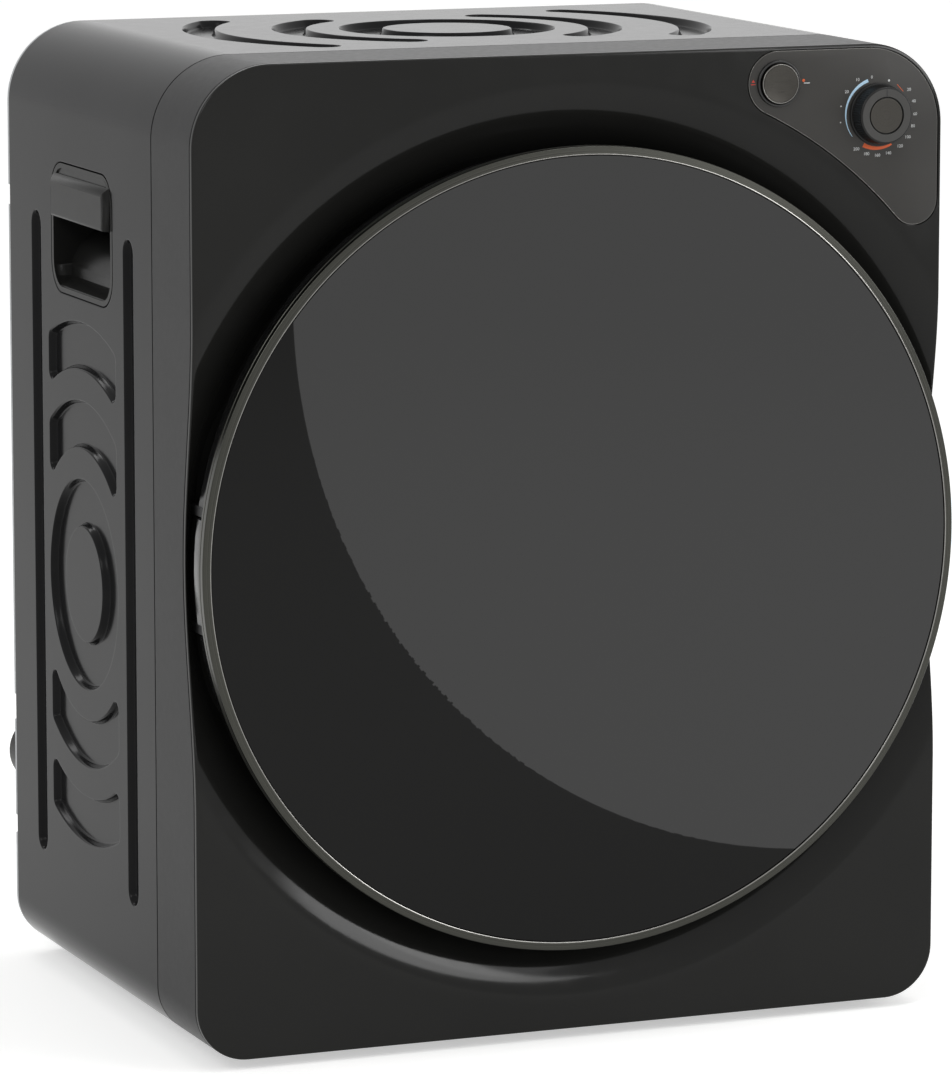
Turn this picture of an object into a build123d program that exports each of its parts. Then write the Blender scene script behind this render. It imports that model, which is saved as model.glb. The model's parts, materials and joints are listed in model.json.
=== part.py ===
from build123d import *
from math import acos, asin, atan2, copysign, cos, hypot, pi, radians, sin, sqrt
import os

# Vented tumble dryer, front loading, four kilogram class. Millimetres.
# X runs to the right as one faces the door, Y runs back into the cabinet, Z runs up.
# The origin is on the floor, in the middle of the machine's width and depth.
# Depths are measured back from the flat of the front panel, heights up from the cabinet's lower edge.

# Cabinet
body_width = 487.5
body_height = 598.5
body_depth = 354.0
foot_height = 6.5
control_band = 111.0
top_corner_radius = 49.8
bottom_corner_radius = 32.1
shell_wall = 1.5
shell_flange = 14.0
frame_wall = 2.5
frame_depth = 73.3
frame_ledge = 11.0
seam_gap = 0.8
spigot_length = 11.0
spigot_wall = 2.0

# Fits between pieces
seat_gap = 0.1
running_gap = 0.05
moving_gap = 0.3

# Door
door_proud = 19.2
door_overhang = 1.65
bezel_face = 5.2
bezel_skirt = 9.0
bezel_wall = 1.8
bezel_groove = 0.6
glass_thickness = 4.0
glass_set_back = 0.4
door_wall_depth = 2.0
door_back_depth = 14.0
door_back_inset = 14.4
door_back_flange = 5.0
door_skin = 2.5
window_view_margin = 12.0
liner_skin = 2.4
liner_shoulder_gap = 7.0
plug_gap = 13.0
plug_depth = 31.0
window_margin = 7.0
window_lip = 8.0
window_rise = 5.0
window_wall = 2.0
seal_inset = 50.0
seal_width = 10.0

# Dished front behind the door
dish_margin = 39.6
dish_roll_radius = 60.0
dish_depth = 24.0
dish_blend = 8.0
panel_wall = 3.5
panel_gap = 1.0
port_margin = 21.0
port_lip = 12.0

# Hinge on the left and catch on the right
hinge_inset = 10.4
hinge_axis_depth = 1.0
hinge_pin_radius = 2.0
hinge_arm_spacing = 70.8
hinge_arm_thickness = 6.0
hinge_arm_radius = 4.0
hinge_slot = 7.6
hinge_slot_front = -7.8
hinge_knuckle_radius = 3.6
hinge_plate = 2.2
hinge_plate_width = 18.0
strike_inset = 23.0
strike_width = 10.0
strike_thickness = 3.0
strike_depth = 33.0
catch_width = 18.0
catch_height = 22.0
catch_depth = 8.5
catch_clearance = 2.5

# Drum
drum_inset = 25.4
drum_front_depth = 40.0
drum_back_depth = 284.0
drum_wall = 1.2
drum_mouth_margin = 18.0
drum_lip = 10.0
drum_shoulder = 14.0
drum_rim = 10.0
felt_thickness = 3.7
felt_width = 12.0
collar_wall = 2.5
lifter_count = 3
lifter_height = 46.0
lifter_base = 64.0
lifter_crest = 26.0
lifter_taper = 14.0
shaft_radius = 8.0
shaft_flange_radius = 26.0
shaft_flange = 4.0
spider_inner_radius = 32.0
spider_outer_radius = 80.0
spider_spokes = 6
spoke_width = 12.0
back_step_inner = 102.0
back_step_margin = 12.0
back_step = 5.0
hot_slot_margin = 8.0
hot_slot_length = 52.0
hot_slot_width = 7.0
hot_slot_count = 36

# Lint filter in the middle of the drum's back
filter_radius = 90.0
filter_depth = 22.0
filter_wall = 2.0
filter_window_inner = 18.0
filter_window_outer = 78.0
filter_ribs = 8
filter_rib_width = 4.0
screen_wall = 1.0
grip_bar_height = 12.0
grip_bar_width = 9.0
grip_bar_reach = 8.0
grip_bar_corner = 4.0
filter_edge = 5.0

# Bulkhead, fan and air path
bulkhead_depth = 294.0
bulkhead_wall = 1.2
bulkhead_inset = 11.0
bulkhead_tab_width = 34.0
bulkhead_tab_inset = 38.75
inlet_radius = 90.0
bearing_length = 16.0
bearing_wall = 3.0
boss_wall = 5.0
bracket_wall = 3.0
bracket_arm_width = 18.0
bracket_lap = 4.0
rear_felt_radius = 96.0
rear_felt_width = 5.0
fan_radius = 85.0
fan_eye_radius = 60.0
fan_width = 23.0
fan_blades = 24
fan_hub_radius = 13.0
blade_wall = 1.2
volute_start = 95.0
volute_end = 138.0
housing_depth = 40.0
housing_wall = 2.0
duct_width = 100.0
duct_drop = 96.25
duct_low = 40.0
exhaust_radius = 50.0
exhaust_wall = 2.0
exhaust_relief = 0.8
exhaust_reach = 36.8
exhaust_flange = 11.0
exhaust_edge = 1.0
exhaust_bead = 6.0
exhaust_bead_width = 2.0
exhaust_height = 98.5
heater_half_width = 88.0
heater_gap = 0.75
heater_height = 70.0
heater_depth = 46.0
element_half_width = 70.0
element_depth = 22.0
element_fins = 24
element_rail = 6.0
thermostat_x = 30.0
thermostat_flange_radius = 9.0
thermostat_flange = 3.0
thermostat_radius = 6.5
thermostat_height = 8.0
thermostat_blade = (1.0, 5.0, 6.0)
thermostat_blade_x = 4.0

# Rear cover
cover_depth = 3.5
cover_wall = 1.2
cover_inset = 0.3
cover_boss_radius = 118.0
cover_boss = 6.0
cover_low_notches = ((72.9, 84.7), (147.7, 164.4))
cover_top_notch = (116.0, 103.2)
cover_notch_width = 3.0
louvre_length = 74.0
louvre_height = 4.4
louvre_pitch = 10.0
louvre_rows = 8
louvre_rise = 174.75
louvre_x = 100.0
spacer_radius = 23.0
spacer_reach = 20.0
spacer_height = 124.2
spacer_inset = 0.5
screw_radius = 1.6
screw_head_radius = 4.2
screw_head = 2.2
screw_inset = 9.0
side_screw_shares = (0.1, 0.5, 0.82)
end_screw_share = 0.75
gland_inset = 67.75
gland_height = 60.0
gland_radius = 9.0
gland_reach = 8.0
gland_bore = 4.0
gland_neck_radius = 7.0

# Motor and belts
motor_inset = 85.75
motor_height = 59.5
motor_radius = 48.0
motor_front_depth = 178.0
motor_back_depth = 272.0
motor_bell = 24.0
motor_boss_radius = 14.0
motor_boss = 5.0
motor_bell_step = 3.0
motor_bell_slope = (10.0, 8.0)
motor_shaft_radius = 6.0
cradle_wall = 3.0
cradle_reach = 4.0
cradle_drop = 8.0
belt_depth = 160.0
belt_width = 9.0
belt_thickness = 3.0
belt_pulley_radius = 9.0
pulley_flange = 2.0
jockey_radius = 18.0
jockey_spacing = 66.0
jockey_lift = 6.0
jockey_axle_radius = 4.0
jockey_arm_width = 16.0
jockey_foot = 18.0
jockey_end = 2.0
fan_belt_depth = 341.5
fan_belt_width = 4.0
fan_belt_thickness = 3.0
fan_drive_radius = 24.0
fan_pulley_radius = 30.0
fan_pulley_width = 8.0

# Handle pockets in the sides
handle_depth = 206.3
handle_drop = 119.9
handle_width = 117.2
handle_tall = 80.7
handle_corner = 19.7
handle_edge = 0.5
handle_flange = 6.0
handle_rim = 3.2
handle_reach = 36.0
handle_skin = 2.5
grip_proud = 3.75
grip_width = 99.2
grip_low = 6.8
grip_high = 29.5
grip_wall = 2.5
scoop_low = -36.9
scoop_step = (10.8, -32.1)
scoop_curve = (14.8, -17.1)
scoop_bend = (27.0, -4.7)
scoop_top = 31.9
scoop_round = 7.0

# Stamped pattern in the sheet
stamp_depth = 6.2
stamp_slope = 25.0
stamp_corner = 6.0
pattern_depth = 208.3
side_pattern_drop = 40.25
side_pattern_half_width = 65.0
side_ring_radii = (36.4, 66.0)
side_arc_radii = ((85.7, 115.2), (134.9, 164.4))
top_ring_radii = (40.4, 68.0)
top_arc_radii = ((88.6, 110.3), (145.7, 166.4))
top_arc_half_depths = (92.5, 110.0)
groove_width = 20.3
groove_low = 73.0
groove_drop = 114.0
groove_depths = (117.6, 296.3)

# Controls
fascia_margin = 2.6
fascia_end_radius = 15.6
fascia_button_radius = 19.75
fascia_thickness = 1.6
fascia_gap = 0.4
button_spacing = 67.0
knob_inset = 43.35
knob_drop = 43.2
knob_radius = 17.7
knob_skirt_radius = 19.2
knob_skirt = 2.4
knob_reach = 12.8
knob_clearance = 0.5
knob_disc_radius = 10.8
knob_disc = 1.2
knob_ribs = 36
knob_rib_radius = 1.1
pointer_length = 6.0
pointer_width = 1.6
timer_shaft_radius = 3.0
timer_radius = 22.0
timer_depth = 26.0
button_radius = 12.2
button_collar_radius = 14.2
button_collar_wall = 1.6
button_reach = 4.0
button_dish = 0.9
button_travel = 3.0
button_stem_radius = 3.5
switch_size = 14.0
switch_depth = 16.0

# Base and feet
pan_wall = 1.5
pan_flange = 10.0
pan_inset = 40.0
pan_rib_width = 16.0
pan_rib_height = 4.0
foot_radius = 16.0
foot_inset = 78.75
foot_front_depth = 106.0
foot_back_depth = 316.0
foot_stem_radius = 5.0
foot_head_radius = 8.0
foot_head = 3.0
foot_edge = 1.5

overall_depth = door_proud + body_depth + exhaust_reach
front = -overall_depth / 2 + door_proud
low = foot_height
high = low + body_height
half_width = body_width / 2
axis_z = low + body_height / 2
door_radius = min(body_width, body_height - control_band) / 2 + door_overhang
dish_rim_radius = door_radius + dish_margin
door_back_radius = door_radius - door_back_inset
seal_radius = door_back_radius - seal_inset
port_radius = seal_radius - port_margin
window_view_radius = port_radius + window_view_margin
liner_shoulder_radius = port_radius - liner_shoulder_gap
plug_radius = port_radius - plug_gap
window_radius = plug_radius - window_margin
drum_mouth_radius = port_radius + drum_mouth_margin
drum_radius = door_radius - drum_inset
back_step_outer = drum_radius - back_step_margin
hot_slot_outer = back_step_outer - hot_slot_margin
hot_slot_inner = hot_slot_outer - hot_slot_length
hinge_axis_x = -(door_radius - hinge_inset)
strike_radius = door_back_radius - strike_inset
panel_reach = hypot(body_width, body_height) / 2 + dish_roll_radius
dish_roll = acos((dish_roll_radius - dish_depth) / dish_roll_radius)
dish_floor_radius = dish_rim_radius - dish_roll_radius * sin(dish_roll)
glass_front = -door_proud + glass_set_back
glass_back = glass_front + glass_thickness
bezel_inner_radius = door_radius - bezel_face
ring_radius = door_radius - bezel_wall - seat_gap
panel_back = dish_depth + panel_wall
collar_radius = drum_mouth_radius - moving_gap - felt_thickness
knob_x = half_width - knob_inset
knob_z = high - knob_drop
button_z = high - fascia_margin - fascia_button_radius
button_x = knob_x - button_spacing
fascia_arc = hypot(button_x, button_z - axis_z) - fascia_button_radius
foot_x = half_width - foot_inset
motor_x = half_width - motor_inset
jockey_x = motor_x - jockey_spacing
gland_x = half_width - gland_inset
pan_z = low + shell_wall
axle_z = low + motor_height
duct_x = -(volute_end - duct_width / 2)
duct_top = body_height / 2 - duct_drop
heater_low = body_height / 2 + volute_end + heater_gap
heater_high = heater_low + heater_height
exhaust_z = low + exhaust_height
housing_front = bulkhead_depth + bulkhead_wall
housing_back = housing_front + housing_depth
cover_inside = body_depth - cover_wall
shell_front = frame_depth + seam_gap / 2
shell_back = body_depth - cover_depth
handle_height = body_height - handle_drop


def facing(depth):
    """Plane square to the door's axis, in which outlines are drawn in X and Z."""
    return Plane(origin=(0, front + depth, 0), x_dir=(1, 0, 0), z_dir=(0, -1, 0))


def slab(outline, near, far):
    """Extrude an outline in X and Z from one depth to another."""
    return extrude(facing(far) * outline, amount=far - near)


def turned(profile, x=0.0, z=axis_z):
    """Turn a profile of radius against depth about an axis that runs back through x, z."""
    plane = Plane(origin=(x, front, z), x_dir=(1, 0, 0), z_dir=(0, 0, 1))
    return revolve(plane * profile, Axis((x, front, z), (0, 1, 0)))


def polygon(*points):
    """Closed outline through the points."""
    return make_face(Polyline(*points, close=True))


def dome(radius, base, crown):
    """Arc of a ball, in radius against depth, from its crown on the axis to its base circle."""
    rise = crown - base
    ball = (radius**2 + rise**2) / (2 * rise)
    half = radius / 2
    middle = crown - half**2 / (ball + copysign(sqrt(ball**2 - half**2), ball))
    return ThreePointArc((0, crown), (half, middle), (radius, base))


def ring(outer, inner, near, far, x=0.0, z=axis_z):
    """Flat-ended tube that runs back from one depth to another."""
    return slab(Pos(x, z) * (Circle(outer) - Circle(inner)), near, far)


def disc(radius, near, far, x=0.0, z=axis_z):
    """Flat-ended cylinder that runs back from one depth to another."""
    return slab(Pos(x, z) * Circle(radius), near, far)


def block(x_low, x_high, near, far, z_low, z_high):
    """Box between two values of X, two depths and two values of Z."""
    centre = ((x_low + x_high) / 2, front + (near + far) / 2, (z_low + z_high) / 2)
    return Pos(*centre) * Box(x_high - x_low, far - near, z_high - z_low)


def around(shape, count, x=0.0, z=axis_z):
    """Copies of a shape spaced evenly about an axis that runs back through x, z."""
    axis = Axis((x, front, z), (0, 1, 0))
    return [shape.rotate(axis, 360 / count * index) for index in range(count)]


def both_sides(shape):
    """The shape and its mirror image across the middle of the machine."""
    return [shape, mirror(shape, about=Plane.YZ)]


def group(shapes):
    """Separate solids held in one node."""
    solids = [solid for shape in shapes for solid in shape.solids()]
    return Compound(children=solids)


def save(name, shape):
    """Write one piece under its own name."""
    export_step(shape, f"parts/{name}.step")


def body_outline(inset=0.0):
    """The cabinet's outline seen from the front, drawn in by an inset."""
    base = Pos(0, axis_z) * Rectangle(body_width - 2 * inset, body_height - 2 * inset)
    base = fillet(base.vertices().sort_by(Axis.Y)[2:], top_corner_radius - inset)
    return fillet(base.vertices().sort_by(Axis.Y)[:2], bottom_corner_radius - inset)


def dish_line(shift, inner, outer):
    """Half section of the dished front: flat floor, rolled edge and flat rim, moved back by a shift."""
    floor_end = (dish_floor_radius, shift + dish_depth)
    rim_end = (dish_rim_radius, shift)
    middle = (
        dish_rim_radius - dish_roll_radius * sin(dish_roll / 2),
        shift + dish_roll_radius * (1 - cos(dish_roll / 2)),
    )
    floor = Line((inner, shift + dish_depth), floor_end)
    return [floor, ThreePointArc(floor_end, middle, rim_end), Line(rim_end, (outer, shift))]


def dish_layer(near, far, inner=0.0, outer=panel_reach):
    """Solid of revolution between two copies of the dished front."""
    edges = dish_line(near, inner, outer) + dish_line(far, inner, outer)
    edges.append(Line((inner, near + dish_depth), (inner, far + dish_depth)))
    edges.append(Line((outer, near), (outer, far)))
    face = make_face(edges)
    bends = [vertex for vertex in face.vertices() if abs(vertex.X - dish_floor_radius) < 0.01]
    return turned(fillet(bends, dish_blend))


def fascia_outline(grow=0.0):
    """Control plate: round about the button, along an arc that touches it, and round below the knob."""
    arc_radius = fascia_arc - grow
    end_radius = fascia_end_radius + grow
    end_x = half_width - fascia_margin - fascia_end_radius
    reach = fascia_arc + fascia_end_radius
    end_z = axis_z + sqrt(reach**2 - end_x**2)
    touch = (end_x * arc_radius / reach, axis_z + (end_z - axis_z) * arc_radius / reach)
    share = arc_radius / hypot(button_x, button_z - axis_z)
    button_touch = (button_x * share, axis_z + (button_z - axis_z) * share)
    wedge = polygon(
        (button_x, high),
        (half_width, high),
        (half_width, end_z),
        (end_x, end_z),
        touch,
        (half_width / 2, axis_z),
        button_touch,
        (button_x, button_z),
    )
    plate = wedge - Pos(0, axis_z) * Circle(arc_radius)
    plate += Pos(end_x, end_z) * Circle(end_radius)
    plate += Pos(button_x, button_z) * Circle(fascia_button_radius + grow)
    return plate & body_outline(fascia_margin - grow)


def side_plane():
    """Plane on the right side with its normal inward: minus depth across, height up."""
    return Plane(origin=(half_width, front, low), x_dir=(0, -1, 0), z_dir=(-1, 0, 0))


def top_plane():
    """Plane on the top with its normal downward: X across, minus depth up."""
    return Plane(origin=(0, front, high), x_dir=(1, 0, 0), z_dir=(0, 0, -1))


def cut_arcs(radii, half_reach):
    """Two curved bars above and below the middle of a ring, cut straight at both ends."""
    inner, outer = radii
    bars = []
    for side in (1, -1):
        clip = Pos(0, side * outer) * Rectangle(2 * half_reach, 2 * outer)
        bar = (Circle(outer) - Circle(inner)) & clip
        bars.append(fillet(bar.vertices(), stamp_corner))
    return bars


def round_arcs(radii, half_reach):
    """Two curved bars to the left and right of a ring's middle, with round ends."""
    inner, outer = radii
    middle = (inner + outer) / 2
    width = outer - inner
    angle = asin((half_reach - width / 2) / middle)
    end = (middle * cos(angle), middle * sin(angle))
    tail = (end[0], -end[1])
    bar = trace(ThreePointArc(tail, (middle, 0), end), width)
    bar += [Pos(*end) * Circle(width / 2), Pos(*tail) * Circle(width / 2)]
    return [bar, mirror(bar, about=Plane.YZ)]


def stamping(plane, shape, grow=0.0):
    """A recess pressed into the sheet; grown by the sheet's thickness it is the bulge behind it."""
    outline = offset(shape, grow) if grow else shape
    return extrude(plane * outline, amount=stamp_depth + grow, taper=stamp_slope)


def ring_stamping(plane, radii, centre, grow=0.0):
    """A ring pressed into the sheet, with an island left in its middle."""
    inner, outer = radii
    place = plane * Pos(*centre)
    recess = extrude(place * Circle(outer + grow), amount=stamp_depth + grow, taper=stamp_slope)
    island = extrude(place * Circle(inner - grow), amount=stamp_depth + grow, taper=-stamp_slope)
    return recess - island


def side_stampings(grow=0.0):
    """Grooves, ring and as many arcs as there is room for below the handle, pressed into one side."""
    centre = (-pattern_depth, body_height / 2 - side_pattern_drop)
    room = handle_height - handle_tall / 2 - handle_flange - centre[1]
    shapes = []
    for radii in side_arc_radii:
        if radii[1] < room:
            shapes += [Pos(*centre) * bar for bar in cut_arcs(radii, side_pattern_half_width)]
    groove_high = body_height - groove_drop
    length = groove_high - groove_low
    for depth in groove_depths:
        groove = SlotOverall(length, groove_width, rotation=90)
        shapes.append(Pos(-depth, (groove_high + groove_low) / 2) * groove)
    plane = side_plane()
    solids = [stamping(plane, shape, grow) for shape in shapes]
    return solids + [ring_stamping(plane, side_ring_radii, centre, grow)]


def top_stampings(grow=0.0):
    """Ring and as many arcs as the flat of the top has room for."""
    centre = (0, -pattern_depth)
    plane = top_plane()
    room = half_width - top_corner_radius
    solids = []
    for radii, half_depth in zip(top_arc_radii, top_arc_half_depths):
        if radii[1] < room:
            bars = round_arcs(radii, half_depth)
            solids += [stamping(plane, Pos(*centre) * bar, grow) for bar in bars]
    return solids + [ring_stamping(plane, top_ring_radii, centre, grow)]


def handle_outline(grow=0.0):
    """Rounded outline of a handle pocket, on the side plane."""
    shape = RectangleRounded(handle_width + 2 * grow, handle_tall + 2 * grow, handle_corner + grow)
    return Pos(-handle_depth, handle_height) * shape


def make_shell():
    """Sheet wrap of sides and top with its stampings, handle holes and open underside."""
    shell = slab(body_outline() - body_outline(shell_wall), shell_front, shell_back)
    flange = body_outline(shell_wall / 2) - body_outline(shell_flange)
    shell += slab(flange, shell_back - shell_wall, shell_back)
    for bulge in side_stampings(shell_wall):
        shell += both_sides(bulge)
    for recess in side_stampings():
        shell -= both_sides(recess)
    for bulge in top_stampings(shell_wall):
        shell += bulge
    for recess in top_stampings():
        shell -= recess
    hole = extrude(side_plane() * handle_outline(handle_edge), amount=stamp_depth)
    shell -= both_sides(hole)
    open_x = half_width - bottom_corner_radius - pan_inset / 2
    near = frame_depth + spigot_length + 1
    return shell - block(-open_x, open_x, near, shell_back - shell_flange, 0, low + 2 * shell_wall)


def make_front_frame():
    """Moulded band behind the front panel, cut to the dish in front and stepped into the shell behind."""
    band = slab(body_outline() - body_outline(frame_wall), 0, frame_depth - seam_gap / 2)
    spigot_inset = shell_wall + seat_gap
    spigot = body_outline(spigot_inset) - body_outline(spigot_inset + spigot_wall)
    band += slab(spigot, frame_depth - spigot_length, frame_depth + spigot_length)
    band -= dish_layer(-dish_rim_radius, panel_wall + panel_gap)
    ledge_ring = body_outline(frame_wall / 2) - body_outline(frame_wall + frame_ledge)
    ledge = dish_layer(panel_wall + seat_gap, panel_wall + seat_gap + frame_wall)
    ledge &= slab(ledge_ring, 0, frame_depth)
    return band + ledge


def make_front_panel():
    """Front skin with the dish, the loading port, the seat of the control plate and its holes."""
    panel = dish_layer(0, panel_wall, port_radius) & slab(body_outline(), -1, frame_depth)
    panel += ring(port_radius + panel_wall, port_radius, dish_depth, dish_depth + port_lip)
    panel -= slab(fascia_outline(fascia_gap), -1, fascia_thickness)
    panel -= disc(timer_shaft_radius + knob_clearance, -1, panel_wall + 1, knob_x, knob_z)
    panel -= disc(button_radius + moving_gap, -1, panel_wall + 1, button_x, button_z)
    slot_x = strike_radius
    panel -= block(
        slot_x - strike_thickness / 2 - catch_clearance,
        slot_x + strike_thickness / 2 + catch_clearance,
        dish_depth - 1,
        panel_back + 1,
        axis_z - strike_width / 2 - catch_clearance,
        axis_z + strike_width / 2 + catch_clearance,
    )
    return panel


def make_fascia():
    """Flush control plate with holes for the timer's shaft and the button."""
    plate = slab(fascia_outline(), 0, fascia_thickness)
    plate -= disc(timer_shaft_radius + knob_clearance, -1, panel_wall, knob_x, knob_z)
    return plate - disc(button_collar_radius - button_collar_wall, -1, panel_wall, button_x, button_z)


def pan_edge():
    """Half width of the base pan, which ends where the shell's lower corners begin."""
    return half_width - bottom_corner_radius - seat_gap


def make_base_pan():
    """Base plate with turned-up edges, pressed ribs and holes for the feet."""
    edge_x = pan_edge()
    near = frame_depth + spigot_length + 1
    far = shell_back - shell_wall - seat_gap
    pan = block(-edge_x, edge_x, near, far, pan_z, pan_z + pan_flange)
    inner = edge_x - pan_wall
    pan -= block(-inner, inner, near + pan_wall, far - pan_wall, pan_z + pan_wall, high)
    for x in (-foot_x / 3, foot_x / 3):
        rib = block(
            x - pan_rib_width / 2,
            x + pan_rib_width / 2,
            foot_front_depth,
            foot_back_depth,
            pan_z,
            pan_z + pan_rib_height + pan_wall,
        )
        hollow = block(
            x - pan_rib_width / 2 + pan_wall,
            x + pan_rib_width / 2 - pan_wall,
            foot_front_depth + pan_wall,
            foot_back_depth - pan_wall,
            pan_z - 1,
            pan_z + pan_rib_height,
        )
        pan = pan + rib - hollow
    for x, depth in foot_places():
        pan -= Pos(x, front + depth, pan_z) * Cylinder(foot_stem_radius + seat_gap, 4 * pan_wall)
    return pan


def foot_places():
    """Where the four feet stand: X and depth."""
    return [(x, depth) for x in (-foot_x, foot_x) for depth in (foot_front_depth, foot_back_depth)]


def make_feet():
    """Four rubber feet, each with a stem and a head that hold it in the base."""
    stem_top = pan_z + pan_wall
    profile = polygon(
        (0, 0),
        (foot_radius - foot_edge, 0),
        (foot_radius, foot_edge),
        (foot_radius - 2, pan_z),
        (foot_stem_radius, pan_z),
        (foot_stem_radius, stem_top),
        (foot_head_radius, stem_top),
        (foot_stem_radius, stem_top + foot_head),
        (0, stem_top + foot_head),
    )
    foot = revolve(Plane.XZ * profile, Axis.Z)
    return group([Pos(x, front + depth, 0) * foot for x, depth in foot_places()])


def make_bulkhead():
    """Steel wall behind the drum, with the air inlet, the heater's window and tabs to the shell."""
    inner = shell_wall + seat_gap
    plate = body_outline(bulkhead_inset)
    tab = Rectangle(bulkhead_tab_width, body_height - 2 * inner)
    tab_x = half_width - bulkhead_tab_inset
    for side in (-1, 1):
        corner_free = body_outline(inner) & (Pos(side * tab_x, axis_z) * tab)
        plate += corner_free
    plate -= Pos(0, axis_z) * Circle(inlet_radius)
    window = Pos(0, low + (heater_low + heater_high) / 2)
    plate -= window * RectangleRounded(2 * element_half_width, heater_height / 2, 6)
    plate -= Pos(motor_x, axle_z) * Circle(motor_shaft_radius + 2 * bearing_wall)
    pan_top = pan_z + pan_flange + seat_gap
    plate -= Pos(0, pan_top / 2) * Rectangle(2 * (pan_edge() + seat_gap), pan_top)
    return slab(plate, bulkhead_depth, housing_front)


def bearing_near():
    """Depth at which the drum's bearing starts."""
    return drum_back_depth + drum_wall + shaft_flange + moving_gap


def make_bearing_bracket():
    """Three-armed bracket on the bulkhead with the boss that holds the drum's bearing."""
    arm_length = inlet_radius + bracket_lap
    boss_radius = shaft_radius + bearing_wall + boss_wall
    arm = Pos(0, axis_z + arm_length / 2) * Rectangle(bracket_arm_width, arm_length)
    arm += Pos(0, axis_z + arm_length) * Circle(bracket_arm_width / 2)
    bar = slab(arm, housing_front, housing_front + bracket_wall)
    bracket = disc(boss_radius, bearing_near(), bearing_near() + bearing_length)
    for copy in around(bar, 3):
        bracket += copy
    bore = shaft_radius + bearing_wall + seat_gap / 10
    return bracket - disc(bore, 0, body_depth)


def make_drum_bearing():
    """Bush in which the drum's shaft turns."""
    outer = shaft_radius + bearing_wall
    return ring(outer, shaft_radius + running_gap, bearing_near(), bearing_near() + bearing_length)


def make_rear_felt():
    """Felt ring that seals the drum's centre against the bulkhead."""
    near = drum_back_depth + drum_wall + moving_gap
    return ring(rear_felt_radius, rear_felt_radius - rear_felt_width, near, bulkhead_depth)


def volute_outline():
    """Spiral chamber that opens downward into the duct."""
    left = -(volute_end - housing_wall)
    right = left + duct_width - 2 * housing_wall
    start = pi + acos(-right / volute_start)
    turn = 3 * pi - start
    steps = 8

    def spiral(share):
        radius = volute_start + (volute_end - housing_wall - volute_start) * share
        angle = start + turn * share
        return (radius * cos(angle), axis_z + radius * sin(angle))

    arcs = []
    for step in range(steps):
        first, second, third = (spiral((step + part) / steps) for part in (0, 0.5, 1))
        arcs.append(ThreePointArc(first, second, third))
    bottom = low + duct_top
    neck = Polyline((left, axis_z), (left, bottom), (right, bottom), spiral(0))
    return make_face(arcs + neck.edges())


def make_fan_housing():
    """Spiral fan housing, open towards the bulkhead's inlet and down towards the duct."""
    chamber = volute_outline()
    bottom = low + duct_top
    below = Pos(duct_x, bottom - housing_wall) * Rectangle(duct_width, 2 * housing_wall)
    outer = offset(chamber, housing_wall) - below
    housing = slab(outer, housing_front, housing_back)
    housing -= slab(chamber, housing_front - 1, housing_back - housing_wall)
    return housing - disc(fan_hub_radius + 3, housing_front, body_depth)


def make_exhaust_duct():
    """Flat duct from the fan housing down to the outlet in the back."""
    width = duct_width
    top = low + duct_top
    bottom = low + duct_low
    outline = Pos(duct_x, (top + bottom) / 2) * Rectangle(width, top - bottom)
    outline = fillet(outline.vertices().sort_by(Axis.Y)[:2], width / 2 - housing_wall)
    inner = offset(outline, -housing_wall)
    inner += Pos(duct_x, top - width / 4) * Rectangle(width - 2 * housing_wall, width / 2)
    duct = slab(outline, housing_front, housing_back)
    duct -= slab(inner, housing_front - 1, housing_back - housing_wall)
    return duct - disc(exhaust_radius - 2 * exhaust_wall, housing_front, body_depth, duct_x, exhaust_z)


def make_exhaust_collar():
    """Round spigot for a hose, with its flange on the rear cover and a bead near its end."""
    end = body_depth + exhaust_reach
    inner = exhaust_radius - exhaust_wall
    neck = exhaust_radius - exhaust_relief
    shoulder = body_depth + exhaust_wall
    bead = end - exhaust_bead
    edge = exhaust_edge
    profile = polygon(
        (inner, housing_back),
        (neck, housing_back),
        (neck, body_depth),
        (exhaust_radius + exhaust_flange, body_depth),
        (exhaust_radius + exhaust_flange, body_depth + edge),
        (exhaust_radius + exhaust_flange - edge, shoulder),
        (neck, shoulder),
        (neck, shoulder + edge),
        (exhaust_radius, shoulder + edge),
        (exhaust_radius, end - edge),
        (exhaust_radius - edge, end),
        (inner, end),
    )
    collar = turned(profile, duct_x, exhaust_z)
    bottom = exhaust_radius - exhaust_wall / 4
    groove = ring(exhaust_radius + edge, bottom, bead, bead + exhaust_bead_width, duct_x, exhaust_z)
    return collar - groove


def make_heater_box():
    """Sheet box on the bulkhead that leads air through the heating element."""
    back = housing_front + heater_depth
    bottom = low + heater_low
    top = low + heater_high
    wall = bulkhead_wall
    box = block(-heater_half_width, heater_half_width, housing_front, back, bottom, top)
    inner = heater_half_width - wall
    box -= block(-inner, inner, housing_front - 1, back - wall, bottom + wall, top - wall)
    slot = heater_height / 2
    middle = (bottom + top) / 2
    inlet = Rectangle(2 * element_half_width, slot)
    return box - slab(Pos(0, middle) * inlet, back - 2 * wall, back + 1)


def make_heater_element():
    """Ceramic heating block between aluminium fins, standing on the box's floor."""
    wall = bulkhead_wall
    bottom = low + heater_low + wall
    top = low + heater_high - wall
    near = housing_front + (heater_depth - element_depth) / 2
    far = near + element_depth
    rail = element_rail
    element = block(-element_half_width, element_half_width, near, far, bottom, bottom + rail)
    element += block(-element_half_width, element_half_width, near, far, top - rail, top)
    middle = (bottom + top) / 2
    element += block(-element_half_width, element_half_width, near, far, middle - rail / 2, middle + rail / 2)
    pitch = (2 * element_half_width - wall) / (element_fins - 1)
    for index in range(element_fins):
        x = -element_half_width + pitch * index
        element += block(x, x + wall, near, far, bottom, top)
    return element


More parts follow.
